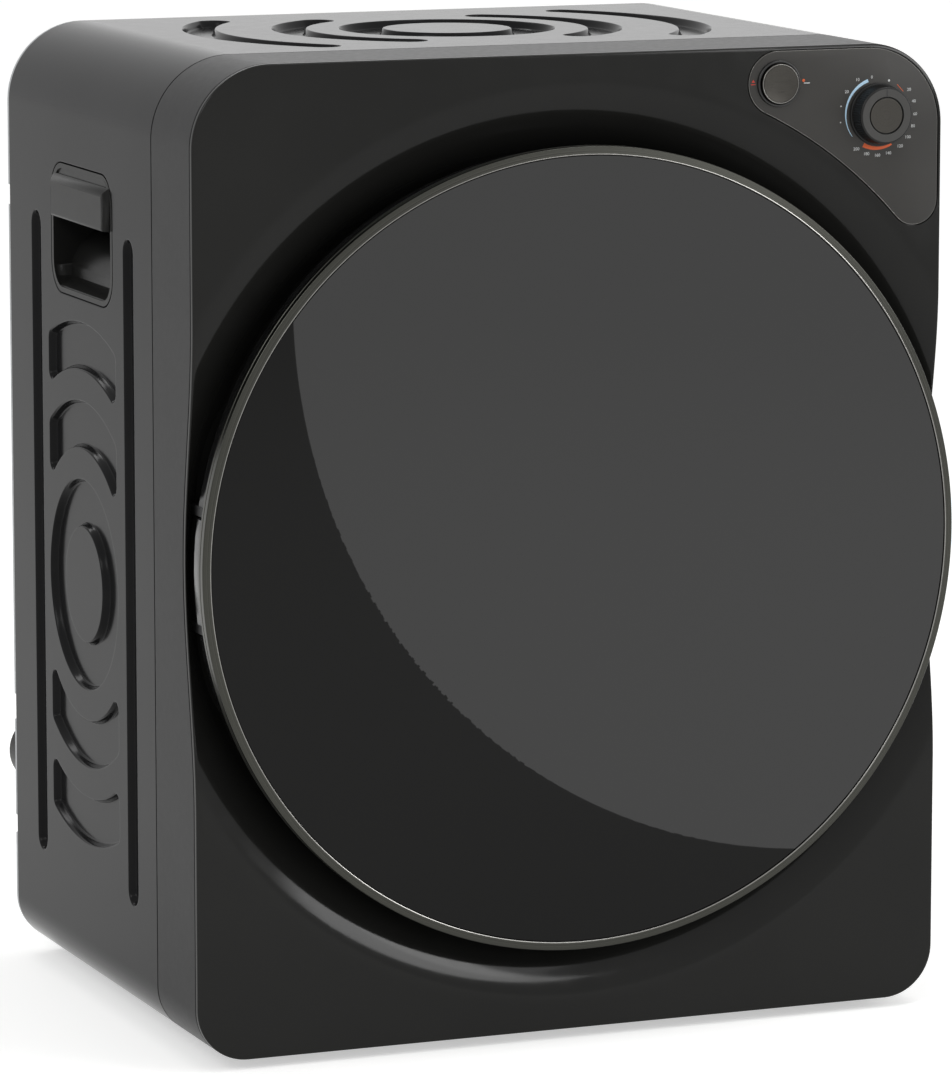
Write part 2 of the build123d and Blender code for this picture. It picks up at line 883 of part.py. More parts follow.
def make_thermal_switches():
    """Thermostat and cut-out, two round switches on top of the heater box."""
    top = low + heater_high
    depth = front + housing_front + heater_depth / 2
    standing = (Align.CENTER, Align.CENTER, Align.MIN)
    switch = Cylinder(thermostat_flange_radius, thermostat_flange, align=standing)
    switch += Pos(0, 0, thermostat_flange) * Cylinder(thermostat_radius, thermostat_height, align=standing)
    blade = Pos(0, 0, thermostat_flange + thermostat_height) * Box(*thermostat_blade, align=standing)
    switch += [Pos(x, 0, 0) * blade for x in (-thermostat_blade_x, thermostat_blade_x)]
    return group([Pos(x, depth, top) * switch for x in (-thermostat_x, thermostat_x)])


def make_rear_cover():
    """Back sheet: turned edge with notches, round boss over the fan, louvres, outlet and cord holes."""
    rim = body_outline(cover_inset) - body_outline(cover_inset + cover_wall)
    cover = slab(body_outline(cover_inset), cover_inside, body_depth)
    cover += slab(rim, shell_back, body_depth)
    boss = disc(cover_boss_radius, cover_inside, body_depth + cover_boss)
    boss = chamfer(boss.faces().sort_by(Axis.Y)[-1].edges(), cover_boss - 0.2)
    cover += boss
    hollow = disc(cover_boss_radius - cover_wall, cover_inside - 1, body_depth + cover_boss - cover_wall)
    cover -= chamfer(hollow.faces().sort_by(Axis.Y)[-1].edges(), cover_boss - 0.2)
    slot = SlotOverall(louvre_length, louvre_height)
    for side in (-1, 1):
        for row in range(louvre_rows):
            z = axis_z + louvre_rise + louvre_pitch * (row - (louvre_rows - 1) / 2)
            cover -= slab(Pos(side * louvre_x, z) * slot, cover_inside - 1, body_depth + 1)
    outlet = exhaust_radius - exhaust_relief + seat_gap
    cover -= disc(outlet, cover_inside - 1, body_depth + 1, duct_x, exhaust_z)
    neck = gland_neck_radius + seat_gap
    cover -= disc(neck, cover_inside - 1, body_depth + 1, gland_x, low + gland_height)
    for x, z in screw_places():
        cover -= disc(screw_radius, cover_inside - 1, body_depth + 1, x, z)
    notches = [(low + bottom, low + top) for bottom, top in cover_low_notches]
    notches.append(tuple(high - drop for drop in cover_top_notch))
    inner = half_width - cover_notch_width
    for bottom, top in notches:
        notch = block(inner, half_width + 1, shell_back - 1, body_depth + 1, bottom, top)
        for piece in both_sides(notch):
            cover -= piece
    return cover


def make_screws():
    """Pan-head screws round the edge of the rear cover."""
    profile = polygon(
        (0, body_depth - cover_depth),
        (screw_radius, body_depth - cover_depth),
        (screw_radius, body_depth),
        (screw_head_radius, body_depth),
        (screw_head_radius, body_depth + screw_head * 0.4),
        (screw_head_radius * 0.6, body_depth + screw_head),
        (0, body_depth + screw_head),
    )
    return group([turned(profile, x, z) for x, z in screw_places()])


def screw_places():
    """Where the rear cover is screwed on: X and Z."""
    side_x = half_width - screw_inset
    heights = [low + body_height * share for share in side_screw_shares]
    places = [(side * side_x, z) for side in (-1, 1) for z in heights]
    spread = half_width - top_corner_radius
    for z in (low + screw_inset, high - screw_inset):
        places += [(side * spread * end_screw_share, z) for side in (-1, 1)]
    return places


def make_spacers():
    """Pair of round bumpers that keep the back off a wall."""
    end = body_depth + spacer_reach
    profile = polygon(
        (0, body_depth),
        (spacer_radius, body_depth),
        (spacer_radius, end - 7),
        (spacer_radius - 2, end - 2.5),
        (spacer_radius - 6, end),
        (0, end),
    )
    x = half_width - spacer_inset - spacer_radius
    return group([turned(profile, side * x, low + spacer_height) for side in (-1, 1)])


def make_cord_gland():
    """Bushing in the back where the mains lead would enter."""
    neck = gland_neck_radius
    profile = polygon(
        (gland_bore, cover_inside - 4),
        (neck, cover_inside - 4),
        (neck, body_depth),
        (gland_radius + 3, body_depth),
        (gland_radius + 3, body_depth + 2),
        (gland_radius, body_depth + 2),
        (gland_radius - 1.5, body_depth + gland_reach),
        (gland_bore, body_depth + gland_reach),
    )
    return turned(profile, gland_x, low + gland_height)


def make_port_collar():
    """Ring behind the loading port, with the tube on which the drum's mouth rides."""
    tube_inner = collar_radius - collar_wall
    lip = port_radius + panel_wall + seat_gap
    end = drum_front_depth + felt_width
    profile = polygon(
        (lip, panel_back),
        (drum_mouth_radius + 2 * drum_lip, panel_back),
        (drum_mouth_radius + 2 * drum_lip, panel_back + collar_wall),
        (collar_radius, panel_back + collar_wall),
        (collar_radius, end),
        (tube_inner, end),
        (tube_inner, panel_back + collar_wall),
        (lip, panel_back + collar_wall),
    )
    return turned(profile)


def make_front_felt():
    """Felt strip round the collar's tube."""
    return ring(collar_radius + felt_thickness, collar_radius, drum_front_depth, drum_front_depth + felt_width)


def make_drum_barrel():
    """Rolled drum wall with its turned-in mouth at the front."""
    shoulder_x = drum_radius - drum_shoulder
    inner = drum_radius - drum_wall
    inside = drum_front_depth + drum_wall
    bend = drum_front_depth + drum_shoulder
    mouth = drum_mouth_radius
    tilt = sin(radians(45))
    outer_mid = (shoulder_x + drum_shoulder * tilt, bend - drum_shoulder * tilt)
    small = drum_shoulder - drum_wall
    inner_mid = (shoulder_x + small * tilt, bend - small * tilt)
    edges = [
        Line((mouth, drum_front_depth + drum_lip), (mouth, drum_front_depth)),
        Line((mouth, drum_front_depth), (shoulder_x, drum_front_depth)),
        ThreePointArc((shoulder_x, drum_front_depth), outer_mid, (drum_radius, bend)),
        Line((drum_radius, bend), (drum_radius, drum_back_depth)),
        Line((drum_radius, drum_back_depth), (inner, drum_back_depth)),
        Line((inner, drum_back_depth), (inner, bend)),
        ThreePointArc((inner, bend), inner_mid, (shoulder_x, inside)),
        Line((shoulder_x, inside), (mouth + drum_wall, inside)),
        Line((mouth + drum_wall, inside), (mouth + drum_wall, drum_front_depth + drum_lip)),
        Line((mouth + drum_wall, drum_front_depth + drum_lip), (mouth, drum_front_depth + drum_lip)),
    ]
    return turned(make_face(edges))


def make_drum_back():
    """Pressed back of the drum: hub spider, raised step with hot-air slots, rim inside the barrel."""
    face = drum_back_depth
    raised = drum_back_depth - back_step
    inner = drum_radius - drum_wall
    rim = inner - seat_gap / 5
    profile = polygon(
        (0, face),
        (back_step_inner, face),
        (back_step_inner + back_step, raised),
        (back_step_outer - back_step, raised),
        (back_step_outer, face),
        (rim - drum_wall, face),
        (rim - drum_wall, face - drum_rim),
        (rim, face - drum_rim),
        (rim, face),
        (drum_radius, face),
        (drum_radius, face + drum_wall),
        (back_step_outer - 0.5, face + drum_wall),
        (back_step_outer - back_step - 0.5, raised + drum_wall),
        (back_step_inner + back_step + 0.5, raised + drum_wall),
        (back_step_inner + 0.5, face + drum_wall),
        (0, face + drum_wall),
    )
    back = turned(profile)
    window = Circle(spider_outer_radius) - Circle(spider_inner_radius)
    for index in range(spider_spokes):
        window -= Rot(0, 0, 360 / spider_spokes * index) * Pos(spider_outer_radius / 2, 0) * Rectangle(
            spider_outer_radius, spoke_width
        )
    window = fillet(window.vertices(), 4)
    back -= slab(Pos(0, axis_z) * window, face - 1, body_depth)
    length = hot_slot_outer - hot_slot_inner
    slot = SlotOverall(length, hot_slot_width)
    slots = []
    for index in range(hot_slot_count):
        turn = Rot(0, 0, 360 / hot_slot_count * index)
        slots.append(Pos(0, axis_z) * turn * Pos((hot_slot_inner + hot_slot_outer) / 2, 0) * slot)
    cutter = slab(Sketch() + slots, raised - 1, body_depth)
    return back - cutter


def lifter_section(width, crest, height):
    """Section of a lifter seen along the drum's axis, with its base on the drum's wall."""
    wall = drum_radius - drum_wall - seat_gap
    base_z = sqrt(wall**2 - (width / 2) ** 2)
    top_z = wall - height
    left = (-width / 2, base_z)
    right = (width / 2, base_z)
    shoulder = (crest / 2, top_z + crest / 4)
    bottom = ThreePointArc(left, (0, wall), right)
    right_side = Line(right, shoulder)
    crown = ThreePointArc(shoulder, (0, top_z), (-shoulder[0], shoulder[1]))
    left_side = Line((-shoulder[0], shoulder[1]), left)
    return Pos(0, axis_z) * make_face([bottom, right_side, crown, left_side])


def make_lifter():
    """Hollow-looking vane that carries the clothes up, tapered towards both ends."""
    near = drum_front_depth + drum_shoulder + 4
    far = drum_back_depth - drum_rim - 4
    middle = slab(lifter_section(lifter_base, lifter_crest, lifter_height), near, far)
    end_face = lifter_section(lifter_base * 0.72, lifter_crest * 0.8, lifter_height * 0.6)
    core = lifter_section(lifter_base, lifter_crest, lifter_height)
    first = loft([facing(near) * end_face, facing(near + lifter_taper) * core], ruled=True)
    body = slab(core, near + lifter_taper, far - lifter_taper)
    last = loft([facing(far - lifter_taper) * core, facing(far) * end_face], ruled=True)
    return first + body + last


def make_drum_shaft():
    """Shaft with its flange on the drum's back, a shoulder behind the bearing and a groove for the clip."""
    near = drum_back_depth + drum_wall
    end = cover_inside - 3
    shaft = disc(shaft_flange_radius, near, near + shaft_flange)
    shaft += disc(shaft_radius, near, end)
    shaft = chamfer(shaft.faces().sort_by(Axis.Y)[-1].edges(), 1)
    return shaft - ring(shaft_radius + 1, shaft_radius - 0.8, end - 3.2, end - 2)


def make_filter_frame():
    """Round cap of the lint filter with its ribbed window and grip bar."""
    far = drum_back_depth - seat_gap
    near = far - filter_depth
    skirt = filter_radius - filter_wall
    inside = filter_edge + filter_wall / 4
    profile = polygon(
        (0, near),
        (filter_radius - filter_edge, near),
        (filter_radius, near + filter_edge),
        (filter_radius, far),
        (skirt, far),
        (skirt, near + inside),
        (filter_radius - inside, near + filter_wall),
        (0, near + filter_wall),
    )
    frame = turned(profile)
    window = Circle(filter_window_outer) - Circle(filter_window_inner)
    for index in range(filter_ribs):
        turn = Rot(0, 0, 360 / filter_ribs * index)
        window -= turn * Pos(filter_window_outer / 2, 0) * Rectangle(filter_window_outer, filter_rib_width)
    frame -= slab(Pos(0, axis_z) * window, near - 1, near + 2 * filter_wall)
    length = 2 * (filter_window_inner + grip_bar_reach)
    bar = Pos(0, axis_z) * RectangleRounded(length, grip_bar_width, grip_bar_corner)
    return frame + slab(bar, near - grip_bar_height, near + filter_wall / 2)


def make_filter_screen():
    """Fine screen behind the cap's window."""
    near = drum_back_depth - seat_gap - filter_depth + filter_wall
    radius = filter_radius - filter_edge - filter_wall / 4 - seat_gap
    return disc(radius, near, near + screen_wall)


def make_fan_wheel():
    """Centrifugal fan wheel with its hub and the pulley behind the housing, all one moulding."""
    near = housing_front + bearing_length / 2 + 3
    far = near + fan_width
    wheel = ring(fan_radius, fan_eye_radius, near, near + blade_wall)
    wheel += disc(fan_radius, far - blade_wall, far)
    outer = (fan_radius - 1, 0)
    inner = (fan_eye_radius + 2, -7)
    middle = ((outer[0] + inner[0]) / 2, -7)
    path = ThreePointArc(inner, middle, outer)
    blade = Pos(0, axis_z) * trace(path, blade_wall)
    vane = slab(blade, near + blade_wall / 2, far - blade_wall / 2)
    wheel = wheel + around(vane, fan_blades)
    pulley_near = fan_belt_depth - fan_pulley_width / 2
    pulley_far = fan_belt_depth + fan_pulley_width / 2
    wheel += disc(fan_hub_radius, bearing_near() + bearing_length + moving_gap + 1, pulley_far)
    wheel += turned(groove_profile(fan_pulley_radius, pulley_near, pulley_far))
    return wheel - disc(shaft_radius + running_gap, 0, body_depth)


def groove_profile(radius, near, far):
    """Half section of a pulley with a round-bottomed belt groove."""
    middle = (near + far) / 2
    half = fan_belt_width / 2 + moving_gap
    bottom = radius - fan_belt_thickness / 2 - moving_gap
    rim = radius + fan_belt_thickness / 2
    return polygon(
        (0, near),
        (rim, near),
        (rim, near + 1),
        (bottom, middle - half),
        (bottom, middle + half),
        (rim, far - 1),
        (rim, far),
        (0, far),
    )


def make_motor_body():
    """Motor with its stator band between two end bells, and a boss at each end."""
    near = motor_front_depth
    far = motor_back_depth
    bell_radius = motor_radius - motor_bell_step
    across, back = motor_bell_slope
    profile = polygon(
        (0, near - motor_boss),
        (motor_boss_radius, near - motor_boss),
        (motor_boss_radius, near),
        (bell_radius - across, near),
        (bell_radius, near + back),
        (bell_radius, near + motor_bell),
        (motor_radius, near + motor_bell),
        (motor_radius, far - motor_bell),
        (bell_radius, far - motor_bell),
        (bell_radius, far - back),
        (bell_radius - across, far),
        (motor_boss_radius, far),
        (motor_boss_radius, far + motor_boss),
        (0, far + motor_boss),
    )
    motor = turned(profile, motor_x, axle_z)
    return motor - disc(motor_shaft_radius + running_gap, 0, body_depth, motor_x, axle_z)


def make_motor_bracket():
    """Cradle on the base pan: a foot plate and two saddles under the stator band."""
    floor = pan_z + pan_wall
    width = 2 * (motor_radius + cradle_reach)
    near = motor_front_depth + motor_bell
    far = motor_back_depth - motor_bell
    bracket = block(
        motor_x - width / 2,
        motor_x + width / 2,
        near,
        far,
        floor,
        floor + cradle_wall,
    )
    for depth in (near, far - cradle_wall):
        saddle = block(
            motor_x - width / 2,
            motor_x + width / 2,
            depth,
            depth + cradle_wall,
            floor,
            axle_z - cradle_drop,
        )
        bracket += saddle
    return bracket - disc(motor_radius + seat_gap, 0, body_depth, motor_x, axle_z)


def make_motor_shaft():
    """Motor shaft with the flanged drum-belt pulley machined on its front end."""
    near = belt_depth - belt_width / 2 - pulley_flange - 4
    far = fan_belt_depth + fan_pulley_width / 2 + 2
    shaft = disc(motor_shaft_radius, near, far, motor_x, axle_z)
    pulley = belt_pulley_radius - belt_thickness / 2 - moving_gap
    edge = belt_width / 2 + moving_gap
    shaft += disc(pulley, belt_depth - edge, belt_depth + edge, motor_x, axle_z)
    for side in (-1, 1):
        middle = belt_depth + side * (edge + pulley_flange / 2)
        flange = disc(
            belt_pulley_radius + belt_thickness,
            middle - pulley_flange / 2,
            middle + pulley_flange / 2,
            motor_x,
            axle_z,
        )
        shaft += flange
    return shaft


def make_fan_drive_pulley():
    """Pulley pressed on the rear end of the motor's shaft."""
    near = fan_belt_depth - fan_pulley_width / 2
    far = fan_belt_depth + fan_pulley_width / 2
    pulley = turned(groove_profile(fan_drive_radius, near, far), motor_x, axle_z)
    return pulley - disc(motor_shaft_radius, near - 1, far + 1, motor_x, axle_z)


def tangent(first, second):
    """Where a belt leaves one wheel and meets the next; a wheel is X, Z, radius and sense of turn."""
    across = second[0] - first[0]
    up = second[1] - first[1]
    distance = hypot(across, up)
    start = first[2] * first[3]
    finish = second[2] * second[3]
    angle = atan2(up, across) - acos((start - finish) / distance)
    leave = (first[0] + start * cos(angle), first[1] + start * sin(angle))
    meet = (second[0] + finish * cos(angle), second[1] + finish * sin(angle))
    return leave, meet


def belt_loop(wheels, shift):
    """Closed outline that wraps the wheels, moved out from the belt's middle by a shift."""
    grown = [(x, z, radius + sense * shift, sense) for x, z, radius, sense in wheels]
    runs = [tangent(grown[index], grown[(index + 1) % len(grown)]) for index in range(len(grown))]
    edges = []
    for index, (x, z, radius, sense) in enumerate(grown):
        arrive = runs[index - 1][1]
        leave = runs[index][0]
        begin = atan2(arrive[1] - z, arrive[0] - x)
        end = atan2(leave[1] - z, leave[0] - x)
        sweep = (end - begin) % (2 * pi) if sense > 0 else -((begin - end) % (2 * pi))
        half = begin + sweep / 2
        middle = (x + radius * cos(half), z + radius * sin(half))
        edges.append(ThreePointArc(arrive, middle, leave))
        edges.append(Line(leave, runs[index][1]))
    return make_face(edges)


def belt(wheels, thickness, width, depth):
    """Flat belt round its wheels."""
    loop = belt_loop(wheels, thickness / 2) - belt_loop(wheels, -thickness / 2)
    return slab(loop, depth - width / 2, depth + width / 2)


def drum_belt_wheels():
    """Drum, jockey pulley and motor pulley in the order in which the belt passes them."""
    clear = moving_gap + belt_thickness / 2
    drum = (0, axis_z, drum_radius + clear, 1)
    jockey = (jockey_x, jockey_z(), jockey_radius + clear, -1)
    motor = (motor_x, axle_z, belt_pulley_radius, 1)
    return [drum, jockey, motor]


def jockey_z():
    """Height of the jockey pulley's axle: it lifts the belt's lower run out of its straight line."""
    clear = moving_gap + belt_thickness / 2
    drum = (0, axis_z, drum_radius + clear, 1)
    motor = (motor_x, axle_z, belt_pulley_radius, 1)
    leave, meet = tangent(drum, motor)
    share = (jockey_x - leave[0]) / (meet[0] - leave[0])
    return leave[1] + (meet[1] - leave[1]) * share + jockey_lift - jockey_radius - clear


def make_drum_belt():
    """Belt from the motor round the drum."""
    return belt(drum_belt_wheels(), belt_thickness, belt_width, belt_depth)


def make_fan_belt():
    """Belt from the rear end of the motor's shaft to the fan."""
    wheels = [(0, axis_z, fan_pulley_radius, 1), (motor_x, axle_z, fan_drive_radius, 1)]
    return belt(wheels, fan_belt_thickness, fan_belt_width, fan_belt_depth)


def make_jockey_pulley():
    """Flanged pulley that keeps the drum belt tight."""
    edge = belt_width / 2 + moving_gap
    pulley = disc(jockey_radius, belt_depth - edge, belt_depth + edge, jockey_x, jockey_z())
    for side in (-1, 1):
        middle = belt_depth + side * (edge + pulley_flange / 2)
        near = middle - pulley_flange / 2
        pulley += disc(jockey_radius + belt_thickness, near, near + pulley_flange, jockey_x, jockey_z())
    return pulley - disc(jockey_axle_radius + running_gap, 0, body_depth, jockey_x, jockey_z())


def make_jockey_arm():
    """Standing arm with the jockey pulley's axle, on the base pan in front of the belt."""
    floor = pan_z + pan_wall
    near = belt_depth - belt_width / 2 - pulley_flange - 2 * moving_gap - cradle_wall
    z = jockey_z()
    half = jockey_arm_width / 2
    arm = Pos(jockey_x, (floor + z) / 2) * Rectangle(jockey_arm_width, z - floor)
    arm += Pos(jockey_x, z) * Circle(half)
    plate = slab(arm, near, near + cradle_wall)
    foot_top = floor + cradle_wall
    plate += block(jockey_x - half, jockey_x + half, near - jockey_foot, near + cradle_wall, floor, foot_top)
    far = belt_depth + belt_width / 2 + pulley_flange + 2 * moving_gap + jockey_end
    axle = disc(jockey_axle_radius, near, far, jockey_x, z)
    return plate + axle + disc(jockey_axle_radius + 1.5, far - 1.5, far, jockey_x, z)


def make_bezel():
    """Metal ring round the glass: face, grooved skirt and two notches for the hinge arms."""
    face = -door_proud
    skirt = face + bezel_skirt
    inner = door_radius - bezel_wall
    groove = face + bezel_skirt / 3
    profile = polygon(
        (bezel_inner_radius, face + 0.4),
        (bezel_inner_radius + 0.4, face),
        (door_radius - 1.2, face),
        (door_radius, face + 1.2),
        (door_radius, groove - bezel_groove),
        (door_radius - bezel_groove, groove),
        (door_radius, groove + bezel_groove),
        (door_radius, skirt),
        (inner, skirt),
        (inner, face + bezel_wall),
        (bezel_inner_radius, face + bezel_wall),
    )
    bezel = turned(profile)
    for z in hinge_heights():
        half = hinge_slot / 2
        bezel -= block(-door_radius - 1, -door_radius / 2, skirt - bezel_wall, skirt + 1, z - half, z + half)
    return bezel


def hinge_heights():
    """Heights of the two hinge arms."""
    return (axis_z - hinge_arm_spacing / 2, axis_z + hinge_arm_spacing / 2)


def make_glass():
    """Flat round door glass."""
    glass = disc(bezel_inner_radius - seat_gap, glass_front, glass_back)
    return chamfer(glass.faces().sort_by(Axis.Y)[0].edges(), 0.3)


def make_door_ring():
    """Moulded ring that carries glass and bezel, with slots for the hinge arms."""
    pocket = bezel_inner_radius
    shoulder = -door_proud + bezel_wall + seat_gap
    back = door_back_depth
    wall = ring_radius - door_skin
    flange = door_back_radius - door_back_flange
    profile = polygon(
        (pocket, shoulder),
        (ring_radius, shoulder),
        (ring_radius, door_wall_depth),
        (door_back_radius, back),
        (flange, back),
        (flange, back - door_skin),
        (door_back_radius - 1.1, back - door_skin),
        (wall, door_wall_depth - 1.1),
        (wall, glass_back + door_skin),
        (window_view_radius, glass_back + door_skin),
        (window_view_radius, glass_back),
        (pocket, glass_back),
    )
    body = turned(profile)
    slot_end = hinge_axis_x + hinge_arm_radius + catch_clearance
    for z in hinge_heights():
        half = hinge_slot / 2
        body -= block(-door_radius, slot_end, hinge_slot_front, back + 1, z - half, z + half)
    low_end = hinge_plane(hinge_heights()[0]) * Pos(hinge_axis_x, hinge_axis_depth)
    relief = low_end * Circle(hinge_knuckle_radius + moving_gap)
    return body - extrude(relief, amount=hinge_arm_spacing)


def liner_front():
    """Depth of the front of the liner's plate, which lies on the inside of the ring's flange."""
    return door_back_depth - door_skin - seat_gap - liner_skin


def make_liner():
    """Inner side of the door: flat plate and a plug that reaches into the loading port."""
    plate = liner_front()
    back = plate + liner_skin
    outer = door_back_radius - 1.6
    window = window_radius - window_lip
    profile = polygon(
        (outer, plate),
        (outer, back),
        (liner_shoulder_radius, back),
        (plug_radius + 2, back + 4),
        (plug_radius, plug_depth - 2.4),
        (plug_radius - 2.4, plug_depth),
        (window, plug_depth),
        (window, plug_depth - liner_skin),
        (plug_radius - 3.6, plug_depth - liner_skin),
        (plug_radius - 2.4, plug_depth - liner_skin - 1.2),
        (plug_radius - 0.4, back + 2.6),
        (liner_shoulder_radius - 1.4, plate),
    )
    return turned(profile)


def make_inner_window():
    """Clear shallow dome in the liner's plug."""
    seat = plug_depth - liner_skin - seat_gap
    crown = seat + window_rise
    edge = window_radius - window_lip - window_wall
    edges = [
        dome(edge, seat, crown),
        Line((0, crown), (0, crown - window_wall)),
        dome(edge, seat - window_wall, crown - window_wall),
        Line((edge, seat - window_wall), (window_radius, seat - window_wall)),
        Line((window_radius, seat - window_wall), (window_radius, seat)),
        Line((window_radius, seat), (edge, seat)),
    ]
    return turned(make_face(edges))


def make_door_seal():
    """Rubber lip on the liner that closes on the panel's floor."""
    base = liner_front() + liner_skin
    tip = dish_depth - moving_gap
    half = seal_width / 2
    profile = polygon(
        (seal_radius - half, base),
        (seal_radius + half, base),
        (seal_radius + half, base + 2.5),
        (seal_radius + half * 0.6, (base + tip) / 2 + 2),
        (seal_radius + half * 0.25, tip),
        (seal_radius - half * 0.25, tip),
        (seal_radius - half * 0.6, (base + tip) / 2 + 2),
        (seal_radius - half, base + 2.5),
    )
    return turned(profile)


def make_strike():
    """Hook on the liner that enters the catch."""
    base = liner_front() + liner_skin
    half = strike_width / 2
    x = strike_radius
    strike = block(x - half, x + half, base, base + 2, axis_z - half - 2, axis_z + half + 2)
    near = base + 1
    thick = strike_thickness / 2
    strike += block(x - thick, x + thick, near, strike_depth, axis_z - half, axis_z + half)
    notch = block(x, x + thick + 1, strike_depth - 5, strike_depth - 2, axis_z - half - 1, axis_z + half + 1)
    return strike - notch


def make_catch():
    """Catch behind the panel's floor, with the slot that takes the hook."""
    x = strike_radius
    near = panel_back
    body = block(
        x - catch_width / 2,
        x + catch_width / 2,
        near,
        near + catch_depth,
        axis_z - catch_height / 2,
        axis_z + catch_height / 2,
    )
    half_x = strike_thickness / 2 + catch_clearance
    half_z = strike_width / 2 + catch_clearance
    return body - block(x - half_x, x + half_x, near - 1, near + catch_depth - 1, axis_z - half_z, axis_z + half_z)


def hinge_plane(z):
    """Level plane at the hinge, in which shapes are drawn in X and depth."""
    return Plane(origin=(0, front, z), x_dir=(1, 0, 0), z_dir=(0, 0, 1))


def make_hinge_bracket():
    """Fixed half of the hinge: a plate on the dish's floor with two cranked arms that hold the pin."""
    x = hinge_axis_x
    elbow = door_back_depth + 1.0
    plate_x = -(dish_floor_radius - dish_blend)
    plate_end = plate_x + hinge_plate_width
    neck = hinge_arm_radius
    outline = polygon(
        (x - neck, hinge_axis_depth),
        (x + neck, hinge_axis_depth),
        (x + neck, elbow),
        (plate_end, elbow),
        (plate_end, dish_depth),
        (x - neck, dish_depth),
    )
    outline += Pos(x, hinge_axis_depth) * Circle(neck)
    outline -= Pos(x, hinge_axis_depth) * Circle(hinge_pin_radius + seat_gap / 10)
    bracket = block(
        plate_x,
        plate_end,
        dish_depth - hinge_plate,
        dish_depth,
        hinge_heights()[0] - hinge_arm_thickness,
        hinge_heights()[1] + hinge_arm_thickness,
    )
    for z in hinge_heights():
        bracket += extrude(hinge_plane(z - hinge_arm_thickness / 2) * outline, amount=hinge_arm_thickness)
    return bracket - dish_layer(-seat_gap, dish_roll_radius)


def make_hinge_pin():
    """Pin held in the two arms."""
    reach = hinge_arm_spacing / 2 + hinge_arm_thickness / 2
    low_end = hinge_plane(axis_z - reach) * Pos(hinge_axis_x, hinge_axis_depth)
    return extrude(low_end * Circle(hinge_pin_radius), amount=2 * reach)


def make_hinge_leaf():
    """Door half of the hinge: a plate on the inside of the ring with a web and the long knuckle."""
    half = hinge_arm_spacing / 2 - hinge_arm_thickness / 2 - 2 * moving_gap
    near = glass_back + door_skin + seat_gap
    x = hinge_axis_x
    level = hinge_plane(axis_z - half)
    outline = Pos(x, hinge_axis_depth) * Circle(hinge_knuckle_radius)
    web = hinge_plate / 2
    outline += polygon(
        (x - web, near),
        (x + hinge_plate_width, near),
        (x + hinge_plate_width, near + hinge_plate),
        (x + web, near + hinge_plate),
        (x + web, hinge_axis_depth),
        (x - web, hinge_axis_depth),
    )
    outline -= Pos(x, hinge_axis_depth) * Circle(hinge_pin_radius + running_gap)
    return extrude(level * outline, amount=2 * half)


def inward(outline, near, far):
    """Extrude an outline on the right side from one depth inside the sheet to another."""
    return extrude(side_plane().offset(near) * outline, amount=far - near)


def finger_space():
    """Section of the finger space behind the grip: distance into the side against height."""
    start = (-grip_proud - 1, scoop_low)
    step = scoop_step
    bend = scoop_bend
    back = handle_reach - handle_skin
    edges = [
        Line(start, (0, scoop_low)),
        Line((0, scoop_low), step),
        ThreePointArc(step, scoop_curve, bend),
        Line(bend, (back, bend[1] + 1.5)),
        Line((back, bend[1] + 1.5), (back, scoop_top)),
        Line((back, scoop_top), (grip_wall, scoop_top)),
        Line((grip_wall, scoop_top), (grip_wall, grip_low)),
        Line((grip_wall, grip_low), (start[0], grip_low)),
        Line((start[0], grip_low), start),
    ]
    face = make_face(edges)
    corner = face.vertices().sort_by_distance((back, scoop_top, 0))[0]
    return fillet(corner, scoop_round)


def section_across(face, width):
    """Sweep a section of distance inward against height along the side, centred on the handle."""
    plane = Plane(
        origin=(half_width, front + handle_depth - width / 2, low + handle_height),
        x_dir=(-1, 0, 0),
        z_dir=(0, 1, 0),
    )
    return extrude(plane * face, amount=width)


def make_handle_pocket():
    """Moulded pocket on the right: rim in the hole, flange behind the sheet, scoop and proud grip."""
    space = finger_space()
    shell = section_across(offset(space, handle_skin), handle_width)
    pocket = inward(handle_outline(), 0, handle_reach) & shell
    pocket += inward(handle_outline(), 0, shell_wall + 2 * seat_gap)
    near = shell_wall + seat_gap
    pocket += inward(handle_outline(handle_flange), near, near + handle_skin)
    opening = inward(handle_outline(-handle_rim), -1, handle_reach)
    pocket -= section_across(space, handle_width) & opening
    pocket -= inward(handle_outline(-handle_rim), -1, 1)
    base = Rectangle(grip_width + 2 * grip_proud, grip_high - grip_low + grip_proud)
    crest = Rectangle(grip_width, grip_high - grip_low)
    middle = handle_height + (grip_low + grip_high) / 2
    base_face = Pos(-handle_depth, middle + grip_proud / 2) * base
    crest_face = Pos(-handle_depth, middle) * crest
    plane = side_plane()
    grip = loft([plane.offset(0) * base_face, plane.offset(-grip_proud) * crest_face], ruled=True)
    grip += inward(base_face, 0, grip_wall)
    return pocket + grip


def make_timer_knob():
    """Timer knob with its skirt, ribbed grip, pointer and seat for the metal disc."""
    face = -knob_reach
    profile = polygon(
        (0, -knob_clearance),
        (knob_skirt_radius, -knob_clearance),
        (knob_skirt_radius, -knob_skirt + 0.8),
        (knob_skirt_radius - 0.8, -knob_skirt),
        (knob_radius + 0.3, -knob_skirt),
        (knob_radius - 0.3, face + 1.2),
        (knob_radius - 1.5, face),
        (knob_disc_radius + seat_gap, face),
        (knob_disc_radius + seat_gap, face + knob_disc),
        (0, face + knob_disc),
    )
    knob = turned(profile, knob_x, knob_z)
    rib = disc(knob_rib_radius, face - 1, -knob_skirt - 0.4, knob_x + knob_radius + 0.4, knob_z)
    knob = knob - around(rib, knob_ribs, knob_x, knob_z)
    top = knob_z + knob_radius - 1.2
    half = pointer_width / 2
    pointer = block(knob_x - half, knob_x + half, face - 0.4, face + 0.2, top - pointer_length + 1, top)
    knob += pointer
    return knob - disc(timer_shaft_radius, face + knob_disc, 0, knob_x, knob_z)


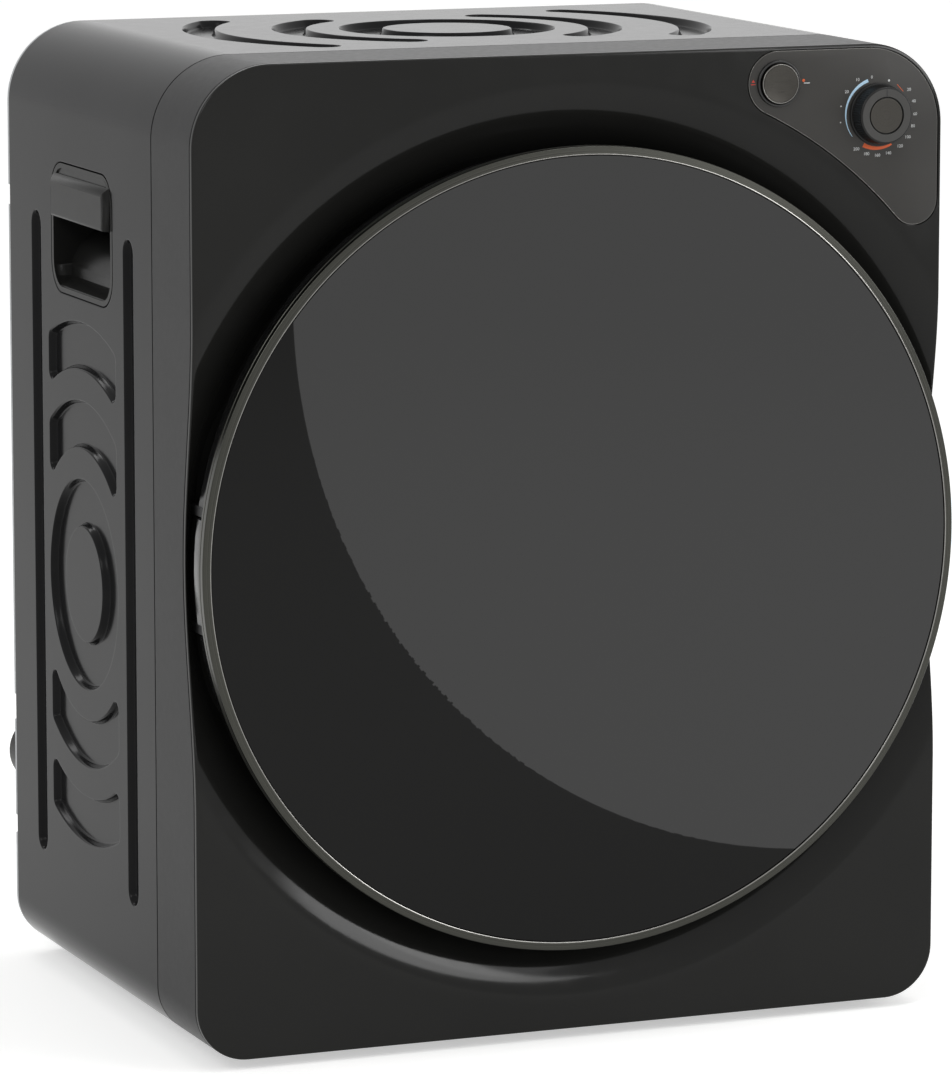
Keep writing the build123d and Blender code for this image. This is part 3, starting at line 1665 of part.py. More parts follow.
def make_knob_disc():
    """Brushed metal disc let into the knob's face."""
    near = -knob_reach + 0.2
    plate = disc(knob_disc_radius, near, -knob_reach + knob_disc, knob_x, knob_z)
    return chamfer(plate.faces().sort_by(Axis.Y)[0].edges(), 0.4)


def make_timer_shaft():
    """Timer spindle that carries the knob."""
    return disc(timer_shaft_radius, -knob_reach + knob_disc, panel_wall + timer_depth - 2, knob_x, knob_z)


def make_timer_body():
    """Clockwork timer behind the panel."""
    body = disc(timer_radius, panel_wall, panel_wall + timer_depth, knob_x, knob_z)
    body = chamfer(body.faces().sort_by(Axis.Y)[-1].edges(), 1.5)
    return body - disc(timer_shaft_radius + running_gap, 0, panel_wall + timer_depth - 1, knob_x, knob_z)


def make_button_collar():
    """Raised collar round the button."""
    inner = button_collar_radius - button_collar_wall
    profile = polygon(
        (inner, 0),
        (button_collar_radius, 0),
        (button_collar_radius, -1.6),
        (button_collar_radius - 0.6, -2.2),
        (inner + 0.3, -2.2),
        (inner, -1.9),
    )
    return turned(profile, button_x, button_z)


def make_mode_button():
    """Dished button with its stem."""
    face = -button_reach
    back = face + button_travel + knob_clearance
    end = panel_wall + switch_depth - button_travel - 2
    crown = face + button_dish
    edges = [
        dome(button_radius - 0.8, face, crown),
        Line((0, crown), (0, end)),
        Line((0, end), (button_stem_radius, end)),
        Line((button_stem_radius, end), (button_stem_radius, back)),
        Line((button_stem_radius, back), (button_radius, back)),
        Line((button_radius, back), (button_radius, face + 0.5)),
        Line((button_radius, face + 0.5), (button_radius - 0.8, face)),
    ]
    return turned(make_face(edges), button_x, button_z)


def make_switch_body():
    """Switch behind the button."""
    half = switch_size / 2
    body = block(
        button_x - half,
        button_x + half,
        panel_wall,
        panel_wall + switch_depth,
        button_z - half,
        button_z + half,
    )
    return body - disc(button_stem_radius + moving_gap, 0, panel_wall + switch_depth - 1, button_x, button_z)


handle_right = make_handle_pocket()
lifters = around(make_lifter(), lifter_count)

pieces = {
    "cabinet_shell": make_shell(),
    "front_frame": make_front_frame(),
    "front_panel": make_front_panel(),
    "control_fascia": make_fascia(),
    "base_pan": make_base_pan(),
    "feet": make_feet(),
    "rear_bulkhead": make_bulkhead(),
    "bearing_bracket": make_bearing_bracket(),
    "drum_bearing": make_drum_bearing(),
    "rear_felt": make_rear_felt(),
    "fan_housing": make_fan_housing(),
    "exhaust_duct": make_exhaust_duct(),
    "exhaust_collar": make_exhaust_collar(),
    "heater_box": make_heater_box(),
    "heater_element": make_heater_element(),
    "thermal_switches": make_thermal_switches(),
    "rear_cover": make_rear_cover(),
    "cover_screws": make_screws(),
    "wall_spacers": make_spacers(),
    "cord_gland": make_cord_gland(),
    "port_collar": make_port_collar(),
    "front_felt": make_front_felt(),
    "handle_pocket_right": handle_right,
    "handle_pocket_left": mirror(handle_right, about=Plane.YZ),
    "door_catch": make_catch(),
    "hinge_bracket": make_hinge_bracket(),
    "hinge_pin": make_hinge_pin(),
    "timer_body": make_timer_body(),
    "switch_body": make_switch_body(),
    "button_collar": make_button_collar(),
    "motor_body": make_motor_body(),
    "motor_bracket": make_motor_bracket(),
    "jockey_arm": make_jockey_arm(),
    "drum_belt": make_drum_belt(),
    "fan_belt": make_fan_belt(),
    "door_bezel": make_bezel(),
    "door_glass": make_glass(),
    "door_ring": make_door_ring(),
    "door_liner": make_liner(),
    "inner_window": make_inner_window(),
    "door_seal": make_door_seal(),
    "door_strike": make_strike(),
    "hinge_leaf": make_hinge_leaf(),
    "drum_barrel": make_drum_barrel(),
    "drum_back": make_drum_back(),
    "drum_shaft": make_drum_shaft(),
    "filter_frame": make_filter_frame(),
    "filter_screen": make_filter_screen(),
    "motor_shaft": make_motor_shaft(),
    "fan_drive_pulley": make_fan_drive_pulley(),
    "fan_wheel": make_fan_wheel(),
    "jockey_pulley": make_jockey_pulley(),
    "timer_knob": make_timer_knob(),
    "knob_disc": make_knob_disc(),
    "timer_shaft": make_timer_shaft(),
    "mode_button": make_mode_button(),
}
for number, lifter in enumerate(lifters, 1):
    pieces[f"drum_lifter_{number}"] = lifter

os.makedirs("parts", exist_ok=True)
for name, shape in pieces.items():
    save(name, shape)
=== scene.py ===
import json
from math import asin, atan2, cos, hypot, pi, radians, sin, sqrt

import bmesh
import bpy
import numpy as np
from bpy.props import FloatProperty, FloatVectorProperty, IntProperty, PointerProperty
from mathutils import Matrix, Vector
from mathutils.geometry import delaunay_2d_cdt


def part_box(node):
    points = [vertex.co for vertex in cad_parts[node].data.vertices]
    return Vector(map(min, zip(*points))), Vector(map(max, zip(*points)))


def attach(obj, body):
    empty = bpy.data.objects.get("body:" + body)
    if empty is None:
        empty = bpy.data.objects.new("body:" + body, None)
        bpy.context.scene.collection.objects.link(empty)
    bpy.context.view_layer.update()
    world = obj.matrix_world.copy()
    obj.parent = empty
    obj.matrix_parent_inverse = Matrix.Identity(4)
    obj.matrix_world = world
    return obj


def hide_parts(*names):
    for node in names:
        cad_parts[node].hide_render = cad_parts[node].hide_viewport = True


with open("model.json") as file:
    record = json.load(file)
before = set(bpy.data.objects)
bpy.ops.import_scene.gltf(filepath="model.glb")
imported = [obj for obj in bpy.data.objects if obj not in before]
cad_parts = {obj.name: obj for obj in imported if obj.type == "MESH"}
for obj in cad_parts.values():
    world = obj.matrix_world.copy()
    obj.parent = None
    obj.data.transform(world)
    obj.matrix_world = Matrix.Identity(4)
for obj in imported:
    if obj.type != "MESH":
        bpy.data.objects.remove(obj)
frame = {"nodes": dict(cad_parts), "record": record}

# Dressed model of a vented tumble dryer. Lengths are metres, as in the frame.
# X runs to the right as one faces the door, Y runs back, Z runs up; depth is Y measured from the panel's flat.

bl_info = {
    "name": "Tumble dryer",
    "version": (1, 0, 0),
    "blender": (4, 5, 0),
    "location": "View3D > Sidebar > Dryer",
    "description": "Builds the visible pieces of a compact vented tumble dryer round its fixed frame",
    "category": "Add Mesh",
}

MM = 0.001
PANEL_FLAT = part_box("front_panel")[0].y
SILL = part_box("cabinet_shell")[0].z
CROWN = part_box("cabinet_shell")[1].z
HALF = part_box("cabinet_shell")[1].x
BEZEL_LOW, BEZEL_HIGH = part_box("door_bezel")
DOOR_RADIUS = (BEZEL_HIGH.x - BEZEL_LOW.x) / 2
AXIS = (BEZEL_LOW.z + BEZEL_HIGH.z) / 2
SLOTS = {part["node"]: part["material_slot"] for part in frame["record"]["subparts"]}


def length(name, description, millimetres):
    """Size that a user may change, given in millimetres and held in metres."""
    return FloatProperty(
        name=name,
        description=description,
        default=millimetres * MM,
        unit="LENGTH",
        subtype="DISTANCE",
        precision=5,
    )


def colour(name, description, value):
    """Colour that a user may change, in linear light."""
    return FloatVectorProperty(
        name=name,
        description=description,
        default=value,
        size=3,
        min=0.0,
        max=1.0,
        subtype="COLOR",
    )


class CabinetSizes(bpy.types.PropertyGroup):
    """Sizes of the cabinet, its frame and its front."""

    top_corner: length("Top corner", "Radius of the two upper corners", 49.8)
    bottom_corner: length("Bottom corner", "Radius of the two lower corners", 32.1)
    sheet: length("Sheet", "Thickness of the painted sheet", 1.5)
    seam: length("Seam", "Gap between the moulded frame and the sheet", 0.8)
    frame_depth: length("Frame depth", "Depth of the moulded frame from the panel's flat", 73.3)
    frame_wall: length("Frame wall", "Thickness of the moulded frame", 2.5)
    flange: length("Flange", "Width of the sheet's flange behind the rear cover's edge", 14.0)
    ledge: length("Ledge", "Width of the frame's ledge behind the panel", 11.0)
    spigot: length("Spigot", "How far the frame reaches into the sheet", 11.0)
    spigot_inset: length("Spigot inset", "Distance of the spigot from the outline", 1.6)
    spigot_wall: length("Spigot wall", "Thickness of the spigot", 2.0)
    side_strip: length("Side strip", "Width of the side sheet's strip under the base", 20.0)
    panel_wall: length("Panel wall", "Thickness of the front panel", 3.5)
    panel_edge: length("Panel edge", "Rounding of the front panel's outer edge", 1.2)
    panel_gap: length("Panel gap", "Groove between the front panel and the frame", 1.0)
    port_radius: length("Port radius", "Radius of the loading port", 160.0)
    port_lip: length("Port lip", "Depth of the port's turned lip", 12.0)
    dish_margin: length("Dish margin", "How far the dish reaches beyond the door", 39.6)
    dish_depth: length("Dish depth", "Depth of the dish's floor", 24.0)
    dish_roll: length("Dish roll", "Radius of the dish's rolled edge", 60.0)
    dish_blend: length("Dish blend", "Radius where the roll meets the floor", 8.0)


class StampSizes(bpy.types.PropertyGroup):
    """Sizes of the pattern stamped into the sheet."""

    depth: length("Depth", "Depth of the stamping", 4.5)
    run: length("Run", "Width of the stamped wall with its rounding", 2.7)
    shoulder: length("Shoulder", "How far the rounding reaches outside the line", 0.4)
    centre_depth: length("Centre depth", "Depth of the pattern's centre", 208.3)
    side_drop: length("Side drop", "How far the side pattern's centre lies below the door's", 40.25)
    side_reach: length("Side reach", "Half width at which the side bars are cut", 65.0)
    corner: length("Corner", "Rounding of the side bars' corners", 6.0)
    groove_half: length("Groove half width", "Half width of a straight groove", 9.2)
    groove_low: length("Groove low", "Height of the grooves' lower end above the sill", 73.0)
    groove_drop: length("Groove drop", "Distance of the grooves' upper end below the top", 114.0)


class HandleSizes(bpy.types.PropertyGroup):
    """Sizes of the handle hole in each side."""

    depth: length("Depth", "Depth of the hole's centre", 206.3)
    drop: length("Drop", "Distance of the hole's centre below the top", 119.9)
    width: length("Width", "Width of the hole", 117.2)
    tall: length("Height", "Height of the hole", 80.7)
    corner: length("Corner", "Radius of the hole's corners", 19.7)
    edge: length("Edge", "Gap between the hole and the moulding", 0.8)
    ease: length("Ease", "Bevel of the grip's edges", 1.8)


class DoorSizes(bpy.types.PropertyGroup):
    """Sizes of the door."""

    proud: length("Proud", "How far the bezel stands before the panel's flat", 19.2)
    bezel_face: length("Bezel face", "Width of the metal ring seen from the front", 5.2)
    bezel_skirt: length("Bezel skirt", "Depth of the metal ring", 9.0)
    bezel_wall: length("Bezel wall", "Thickness of the metal ring", 1.8)
    bezel_groove: length("Bezel groove", "Depth of the line turned in the skirt", 0.6)
    glass: length("Glass", "Thickness of the glass", 4.0)
    glass_set_back: length("Glass set back", "Step from the ring's face to the glass", 0.7)
    glass_gap: length("Glass gap", "Dark line between the ring and the glass", 0.35)
    bezel_slope: length("Bezel slope", "How far the ring's face falls back towards its outside", 0.9)
    bead: length("Bead", "Radius of the bright bead along the ring's inner edge", 0.45)
    bead_middle: length("Bead middle", "Distance of the bead's middle from the ring's inner edge", 0.4)
    eased_edge: length("Eased edge", "Bevel of the door's mouldings", 0.3)


class ControlSizes(bpy.types.PropertyGroup):
    """Sizes of the control plate, knob and button."""

    margin: length("Margin", "Width of panel left round the control plate", 2.6)
    end_radius: length("End radius", "Radius of the plate's lower end", 15.6)
    button_end: length("Button end", "Radius of the plate's end round the button", 19.75)
    gap: length("Gap", "Line between plate and panel", 0.7)
    ease: length("Ease", "Rounding of the plate's edge", 0.45)
    bead: length("Bead", "Radius of the bright bead along the plate's edge", 0.2)
    knob_inset: length("Knob inset", "Distance of the knob from the side", 43.35)
    knob_drop: length("Knob drop", "Distance of the knob from the top", 43.2)
    button_spacing: length("Button spacing", "Distance of the button from the knob, across", 67.0)
    knob_radius: length("Knob radius", "Radius of the knob's grip", 17.7)
    knob_skirt: length("Knob skirt", "Radius of the knob's skirt", 19.2)
    knob_reach: length("Knob reach", "How far the knob stands out", 12.8)
    knob_disc: length("Knob disc", "Radius of the metal disc", 10.8)
    knob_line: length("Knob line", "Dark line round the metal disc", 0.6)
    knob_foot: length("Knob foot", "Gap between the skirt and the plate", 0.5)
    knob_step: length("Knob step", "Height of the skirt's upper edge over the plate", 2.4)
    knob_taper: length("Knob taper", "How far the grip's side leans in or out from its radius", 0.3)
    knob_well: length("Knob well", "Depth of the well that holds the disc", 1.2)
    knob_rib: length("Knob rib", "Depth of the hollows between the ribs", 0.4)
    knob_ribs: IntProperty(name="Knob ribs", description="Number of ribs round the grip", default=72)
    button_radius: length("Button radius", "Radius of the button", 12.2)
    button_reach: length("Button reach", "How far the button stands out", 4.0)
    collar_radius: length("Collar radius", "Outer radius of the button's collar", 14.2)
    collar_wall: length("Collar wall", "Thickness of the button's collar", 1.6)
    collar_reach: length("Collar reach", "How far the button's collar stands out", 2.2)
    number_height: length("Number height", "Height of the printed numbers", 2.7)


class Finishes(bpy.types.PropertyGroup):
    """Colours of the main finishes."""

    paint: colour("Paint", "Gloss paint of the sheet", (0.013, 0.013, 0.0135))
    frame: colour("Frame", "Satin moulding of the frame", (0.02, 0.02, 0.0205))
    panel: colour("Panel", "Gloss moulding of the front panel", (0.012, 0.012, 0.0112))
    plate: colour("Plate", "Matt moulding of the control plate", (0.033, 0.0315, 0.029))
    bezel: colour("Bezel", "Turned metal of the door's ring", (0.052, 0.052, 0.046))
    caps: colour("Caps", "Dark metal of the knob's disc and the button", (0.056, 0.053, 0.048))
    glass: colour("Glass", "Tint of the door glass", (0.003, 0.003, 0.0028))
    hot_scale: colour("Hot scale", "Printed arc of the hot range", (0.62, 0.1, 0.02))
    cool_scale: colour("Cool scale", "Printed arc of the cool range", (0.5, 0.72, 0.9))
    floor: colour("Floor", "Pale floor", (0.8, 0.8, 0.79))


def cabinet():
    """Cabinet sizes of the current scene."""
    return bpy.context.scene.dryer_cabinet


def stamps():
    """Stamping sizes of the current scene."""
    return bpy.context.scene.dryer_stamps


def handle():
    """Handle sizes of the current scene."""
    return bpy.context.scene.dryer_handle


def door():
    """Door sizes of the current scene."""
    return bpy.context.scene.dryer_door


def controls():
    """Control sizes of the current scene."""
    return bpy.context.scene.dryer_controls


def finishes():
    """Colours of the current scene."""
    return bpy.context.scene.dryer_finishes


# Finishes


class Shader:
    """Small helper that adds and joins nodes of one material."""

    def __init__(self, name):
        self.material = bpy.data.materials.new(name)
        self.material.use_nodes = True
        self.tree = self.material.node_tree
        self.surface = self.tree.nodes["Principled BSDF"]
        self.place = self.tree.nodes.new("ShaderNodeTexCoord").outputs["Object"]

    def node(self, kind, **values):
        """Add a node and set its sockets or options by name."""
        node = self.tree.nodes.new(kind)
        for key, value in values.items():
            if hasattr(node, key):
                setattr(node, key, value)
            else:
                node.inputs[key.replace("_", " ")].default_value = value
        return node

    def join(self, source, target):
        """Join an output to an input."""
        self.tree.links.new(source, target)

    def stretched(self, scale):
        """Object coordinates drawn out by a scale along each axis."""
        mapping = self.node("ShaderNodeMapping")
        mapping.inputs["Scale"].default_value = scale
        self.join(self.place, mapping.inputs["Vector"])
        return mapping.outputs["Vector"]

    def noise(self, scale, detail=3.0, roughness=0.55, vector=None):
        """Noise whose grain is one over the scale, in metres."""
        node = self.node("ShaderNodeTexNoise", Scale=scale, Detail=detail, Roughness=roughness)
        self.join(vector or self.place, node.inputs["Vector"])
        return node.outputs["Fac"]

    def spread(self, source, low, high):
        """Noise turned into values from low to high."""
        node = self.node("ShaderNodeMapRange", From_Min=0.3, From_Max=0.7, To_Min=low, To_Max=high)
        self.join(source, node.inputs["Value"])
        return node.outputs["Result"]

    def vary(self, source, dark, light):
        """Base colour that drifts between two colours."""
        ramp = self.node("ShaderNodeMix", data_type="RGBA")
        ends = [socket for socket in ramp.inputs if socket.type == "RGBA"]
        for socket, tone in zip(ends, (dark, light)):
            socket.default_value = (*tone, 1)
        self.join(self.spread(source, 0.0, 1.0), ramp.inputs["Factor"])
        mixed = next(out for out in ramp.outputs if out.type == "RGBA")
        self.join(mixed, self.surface.inputs["Base Color"])

    def roughen(self, source, low, high):
        """Roughness that drifts between two values."""
        self.join(self.spread(source, low, high), self.surface.inputs["Roughness"])

    def emboss(self, source, strength, distance):
        """Bump from a height."""
        bump = self.node("ShaderNodeBump", Strength=strength, Distance=distance)
        self.join(source, bump.inputs["Height"])
        self.join(bump.outputs["Normal"], self.surface.inputs["Normal"])

    def set(self, **values):
        """Constant values set straight on the shader."""
        for key, value in values.items():
            self.surface.inputs[key.replace("_", " ")].default_value = value


def tinted(base, factor):
    """Colour scaled in brightness."""
    return tuple(min(1.0, channel * factor) for channel in base)


def grey(tone):
    """Neutral colour."""
    return (tone, tone, tone)


def gloss_paint(name, base, peel=0.03, gloss=1.14, roughness=0.15):
    """Baked gloss paint: deep colour, slight clouding and a faint orange peel."""
    shader = Shader(name)
    shader.vary(shader.noise(9.0), tinted(base, 0.85), tinted(base, 1.15))
    shader.roughen(shader.noise(120.0), roughness * 0.95, roughness * 1.07)
    shader.emboss(shader.noise(220.0, 2.0), peel, 0.00002)
    shader.set(IOR=gloss)
    return shader.material


def gloss_moulding(name, base, roughness=0.1, gloss=1.25):
    """Polished moulded plastic with slight flow marks."""
    shader = Shader(name)
    shader.vary(shader.noise(7.0), tinted(base, 0.9), tinted(base, 1.12))
    shader.roughen(shader.noise(60.0), roughness * 0.8, roughness * 1.3)
    shader.emboss(shader.noise(90.0, 2.0), 0.1, 0.00002)
    shader.set(IOR=gloss)
    return shader.material


def grained_moulding(name, base, roughness=0.45, grain=1800.0, strength=0.35, gloss=1.46):
    """Moulded plastic with a fine spark-eroded grain."""
    shader = Shader(name)
    shader.vary(shader.noise(14.0), tinted(base, 0.88), tinted(base, 1.12))
    shader.roughen(shader.noise(220.0), roughness * 0.94, roughness * 1.08)
    shader.emboss(shader.noise(grain, 2.0), strength, 0.00003)
    shader.set(IOR=gloss)
    return shader.material


def brushed_metal(name, base, roughness=0.3, stretch=(40.0, 2600.0, 2600.0), worn=0.12):
    """Metal brushed along one axis: fine lines in tone, roughness and height."""
    shader = Shader(name)
    lines = shader.noise(1.0, 4.0, 0.7, shader.stretched(stretch))
    shader.vary(lines, tinted(base, 1 - worn), tinted(base, 1 + worn))
    shader.roughen(lines, roughness * 0.75, roughness * 1.3)
    shader.emboss(lines, 0.15, 0.00002)
    shader.set(Metallic=1.0)
    return shader.material


def turned_metal(name, base, centre, roughness=0.26, rings=5200.0):
    """Spun metal: fine rings about an axis that runs back through the centre."""
    shader = Shader(name)
    mapping = shader.node("ShaderNodeMapping")
    mapping.inputs["Location"].default_value = (-centre[0], 0.0, -centre[1])
    mapping.inputs["Scale"].default_value = (1.0, 0.0, 1.0)
    shader.join(shader.place, mapping.inputs["Vector"])
    radius = shader.node("ShaderNodeVectorMath", operation="LENGTH")
    shader.join(mapping.outputs["Vector"], radius.inputs[0])
    lines = shader.node("ShaderNodeTexNoise", noise_dimensions="1D", Scale=rings, Detail=3.0)
    shader.join(radius.outputs["Value"], lines.inputs["W"])
    shader.vary(lines.outputs["Fac"], tinted(base, 0.85), tinted(base, 1.15))
    shader.roughen(lines.outputs["Fac"], roughness * 0.8, roughness * 1.3)
    shader.emboss(lines.outputs["Fac"], 0.25, 0.00002)
    shader.set(Metallic=1.0)
    return shader.material


def spangled_steel(name, base, roughness=0.42):
    """Galvanised sheet: crystals of slightly different tone."""
    shader = Shader(name)
    cells = shader.node("ShaderNodeTexVoronoi", Scale=260.0)
    shader.join(shader.place, cells.inputs["Vector"])
    tone = shader.node("ShaderNodeSeparateColor")
    shader.join(cells.outputs["Color"], tone.inputs["Color"])
    shader.vary(tone.outputs["Red"], tinted(base, 0.96), tinted(base, 1.03))
    shader.roughen(tone.outputs["Green"], roughness * 0.92, roughness * 1.08)
    shader.emboss(shader.noise(500.0), 0.05, 0.00002)
    shader.set(Metallic=1.0)
    return shader.material


def rubber(name, base, gloss=1.45):
    """Matt rubber with a dusty bloom."""
    shader = Shader(name)
    shader.vary(shader.noise(35.0, 5.0), tinted(base, 0.8), tinted(base, 1.5))
    shader.roughen(shader.noise(300.0), 0.6, 0.8)
    shader.emboss(shader.noise(1400.0, 2.0), 0.3, 0.00004)
    shader.set(IOR=gloss)
    return shader.material


def pressed_felt(name, base):
    """Felt: tangled fibres and a soft sheen."""
    shader = Shader(name)
    fibres = shader.noise(1700.0, 6.0, 0.75)
    shader.vary(fibres, tinted(base, 0.7), tinted(base, 1.2))
    shader.emboss(fibres, 0.8, 0.0003)
    shader.set(Roughness=0.95, Sheen_Weight=0.35, Sheen_Roughness=0.5)
    return shader.material


def woven_mesh(name, base):
    """Fine woven screen: two sets of threads crossing."""
    shader = Shader(name)
    height = None
    for axis in ("X", "Z"):
        wave = shader.node("ShaderNodeTexWave", bands_direction=axis, Scale=420.0)
        shader.join(shader.place, wave.inputs["Vector"])
        if height is None:
            height = wave.outputs["Fac"]
        else:
            product = shader.node("ShaderNodeMath", operation="MULTIPLY")
            shader.join(height, product.inputs[0])
            shader.join(wave.outputs["Fac"], product.inputs[1])
            height = product.outputs["Value"]
    shader.vary(height, tinted(base, 0.45), tinted(base, 1.2))
    shader.emboss(height, 0.7, 0.0002)
    shader.set(Roughness=0.6)
    return shader.material


def tinted_glass(name, base, transmission, roughness=0.02, gloss=1.5):
    """Tinted glass."""
    shader = Shader(name)
    shader.vary(shader.noise(5.0), tinted(base, 0.94), tinted(base, 1.06))
    shader.roughen(shader.noise(25.0), roughness, roughness * 1.6)
    shader.set(IOR=gloss, Transmission_Weight=transmission)
    return shader.material


def printed_ink(name, base):
    """Screen-printed ink, slightly uneven."""
    shader = Shader(name)
    shader.vary(shader.noise(900.0), tinted(base, 0.9), tinted(base, 1.05))
    shader.set(Roughness=0.55)
    return shader.material


MADE = {}


def slot_finish(slot):
    """Material of one slot of the record, made once."""
    if slot not in MADE:
        maker, base, values = slot_recipes()[slot]
        MADE[slot] = maker(slot, base, **values)
    return MADE[slot]


def polished(name, tone):
    """Polished metal of a fine edge."""
    return brushed_metal(name, (tone, tone * 0.98, tone * 0.93), roughness=0.16, stretch=EVEN_GRAIN)


def ink(name, base):
    """Printed ink, made once."""
    if name not in MADE:
        MADE[name] = printed_ink(name, base)
    return MADE[name]


# Grain of brushed metal along X, Y and Z, in lines to the metre.
EVEN_GRAIN = (900.0, 900.0, 900.0)
GRAIN_ACROSS = (60.0, 900.0, 900.0)
GRAIN_ALONG = (900.0, 60.0, 900.0)
GRAIN_UP = (900.0, 900.0, 60.0)
HINGE_GRAIN = (1200.0, 1200.0, 60.0)
BARREL_GRAIN = (700.0, 40.0, 700.0)
BUTTON_GRAIN = (30.0, 2600.0, 2600.0)


def slot_recipes():
    """Maker, colour and values of the finish of each slot."""
    tones = finishes()
    satin = dict(roughness=0.3, grain=1500.0, strength=0.01, gloss=1.14)
    plate = dict(roughness=0.36, grain=1600.0, strength=0.1, gloss=1.36)
    dark = dict(roughness=0.24, grain=1500.0, strength=0.04, gloss=1.15)
    half_matt = dict(roughness=0.5)
    return {
        "cabinet_paint": (gloss_paint, tones.paint, {}),
        "frame_moulding": (grained_moulding, tones.frame, satin),
        "panel_gloss": (gloss_moulding, tones.panel, {}),
        "fascia_moulding": (grained_moulding, tones.plate, plate),
        "galvanised": (spangled_steel, (0.36, 0.37, 0.38), {}),
        "foot_rubber": (rubber, grey(0.02), {}),
        "bracket_steel": (brushed_metal, (0.45, 0.46, 0.47), dict(roughness=0.38, stretch=GRAIN_UP)),
        "bearing_bronze": (spangled_steel, (0.55, 0.36, 0.16), half_matt),
        "felt": (pressed_felt, (0.35, 0.33, 0.3), {}),
        "duct_moulding": (grained_moulding, (0.42, 0.42, 0.4), half_matt),
        "element_fins": (brushed_metal, grey(0.72), dict(roughness=0.35, stretch=GRAIN_ACROSS)),
        "switch_moulding": (grained_moulding, grey(0.04), half_matt),
        "screw_steel": (brushed_metal, (0.6, 0.6, 0.58), dict(roughness=0.3, stretch=EVEN_GRAIN)),
        "dark_moulding": (grained_moulding, (0.012, 0.012, 0.0115), dark),
        "hinge_steel": (brushed_metal, (0.035, 0.035, 0.036), dict(roughness=0.4, stretch=HINGE_GRAIN)),
        "button_ring": (grained_moulding, grey(0.01), dict(roughness=0.3, grain=1500.0, strength=0.1)),
        "motor_paint": (gloss_paint, (0.12, 0.13, 0.14), dict(peel=0.5, gloss=1.45, roughness=0.3)),
        "belt_rubber": (rubber, grey(0.03), {}),
        "bezel_metal": (turned_metal, tones.bezel, dict(centre=(0.0, AXIS), roughness=0.3, rings=1500.0)),
        "door_glass": (tinted_glass, tones.glass, dict(transmission=0.0, roughness=0.01, gloss=1.25)),
        "door_moulding": (gloss_moulding, grey(0.008), dict(roughness=0.16)),
        "liner_moulding": (grained_moulding, (0.3, 0.31, 0.32), dict(roughness=0.4)),
        "window_clear": (tinted_glass, (0.8, 0.82, 0.82), dict(transmission=0.92, roughness=0.03)),
        "seal_rubber": (rubber, grey(0.05), {}),
        "drum_steel": (brushed_metal, (0.62, 0.62, 0.61), dict(roughness=0.3, stretch=BARREL_GRAIN, worn=0.08)),
        "lifter_moulding": (grained_moulding, (0.42, 0.43, 0.44), dict(roughness=0.42)),
        "filter_moulding": (grained_moulding, (0.16, 0.18, 0.21), dict(roughness=0.4)),
        "filter_mesh": (woven_mesh, (0.55, 0.55, 0.53), {}),
        "shaft_steel": (brushed_metal, grey(0.58), dict(roughness=0.22, stretch=GRAIN_ALONG)),
        "fan_moulding": (grained_moulding, grey(0.09), half_matt),
        "knob_moulding": (grained_moulding, (0.036, 0.035, 0.033), dict(roughness=0.36, grain=1600.0, strength=0.1)),
        "knob_metal": (turned_metal, tones.caps, dict(centre=knob_place(), roughness=0.34)),
        "button_metal": (brushed_metal, tones.caps, dict(roughness=0.34, stretch=BUTTON_GRAIN)),
    }


# Mesh building


def facing_out(points, faces):
    """Faces of a closed form turned so that the volume they bound, summed from the origin, is positive."""
    volume = 0.0
    for group in faces:
        corner = points[group]
        for last in range(2, group.shape[1]):
            volume += np.einsum("ij,ij->", corner[:, 0], np.cross(corner[:, last - 1], corner[:, last]))
    return faces if volume > 0 else [group[:, ::-1] for group in faces]


def only_used(points, faces):
    """Points and faces without the points that no face uses."""
    used = np.unique(np.concatenate([group.ravel() for group in faces]))
    number = np.zeros(len(points), int)
    number[used] = np.arange(len(used))
    return points[used], [number[group] for group in faces]


def build_mesh(name, points, faces, sharp=38.0):
    """Mesh of corner points and of faces given as arrays of three or four corner numbers."""
    faces = [group for group in faces if len(group)]
    points, faces = only_used(np.asarray(points, float).reshape(-1, 3), faces)
    faces = facing_out(points, faces)
    mesh = bpy.data.meshes.new(name)
    mesh.vertices.add(len(points))
    mesh.vertices.foreach_set("co", points.astype(np.float32).ravel())
    corners = np.concatenate([group.ravel() for group in faces]).astype(np.int32)
    sizes = np.concatenate([np.full(len(group), group.shape[1]) for group in faces])
    mesh.loops.add(len(corners))
    mesh.loops.foreach_set("vertex_index", corners)
    mesh.polygons.add(len(sizes))
    mesh.polygons.foreach_set("loop_start", (np.cumsum(sizes) - sizes).astype(np.int32))
    mesh.polygons.foreach_set("use_smooth", np.ones(len(sizes), bool))
    mesh.update(calc_edges=True)
    mesh.validate()
    mesh.set_sharp_from_angle(angle=radians(sharp))
    return mesh


def placed(name, data):
    """Object for a mesh, a curve, a lamp or the camera, linked to the scene."""
    thing = bpy.data.objects.new(name, data)
    bpy.context.scene.collection.objects.link(thing)
    return thing


def put(name, form, node, finish=None, sharp=38.0):
    """Piece made from a form or a mesh, with the body, slot and finish of the CAD node that it replaces."""
    mesh = form if isinstance(form, bpy.types.Mesh) else build_mesh(name, *form, sharp=sharp)
    piece = placed(name, mesh)
    mesh.materials.append(finish or slot_finish(SLOTS[node]))
    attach(piece, body_of_node(node))
    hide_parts(node)
    return piece


def grid_faces(rows, columns, wrap_rows=False, wrap_columns=False):
    """Corner numbers of a grid's squares; a wrapped direction joins its last line to its first."""
    number = np.arange(rows * columns).reshape(rows, columns)
    if wrap_rows:
        number = np.vstack([number, number[:1]])
    if wrap_columns:
        number = np.hstack([number, number[:, :1]])
    squares = (number[:-1, :-1], number[1:, :-1], number[1:, 1:], number[:-1, 1:])
    return np.stack(squares, -1).reshape(-1, 4)


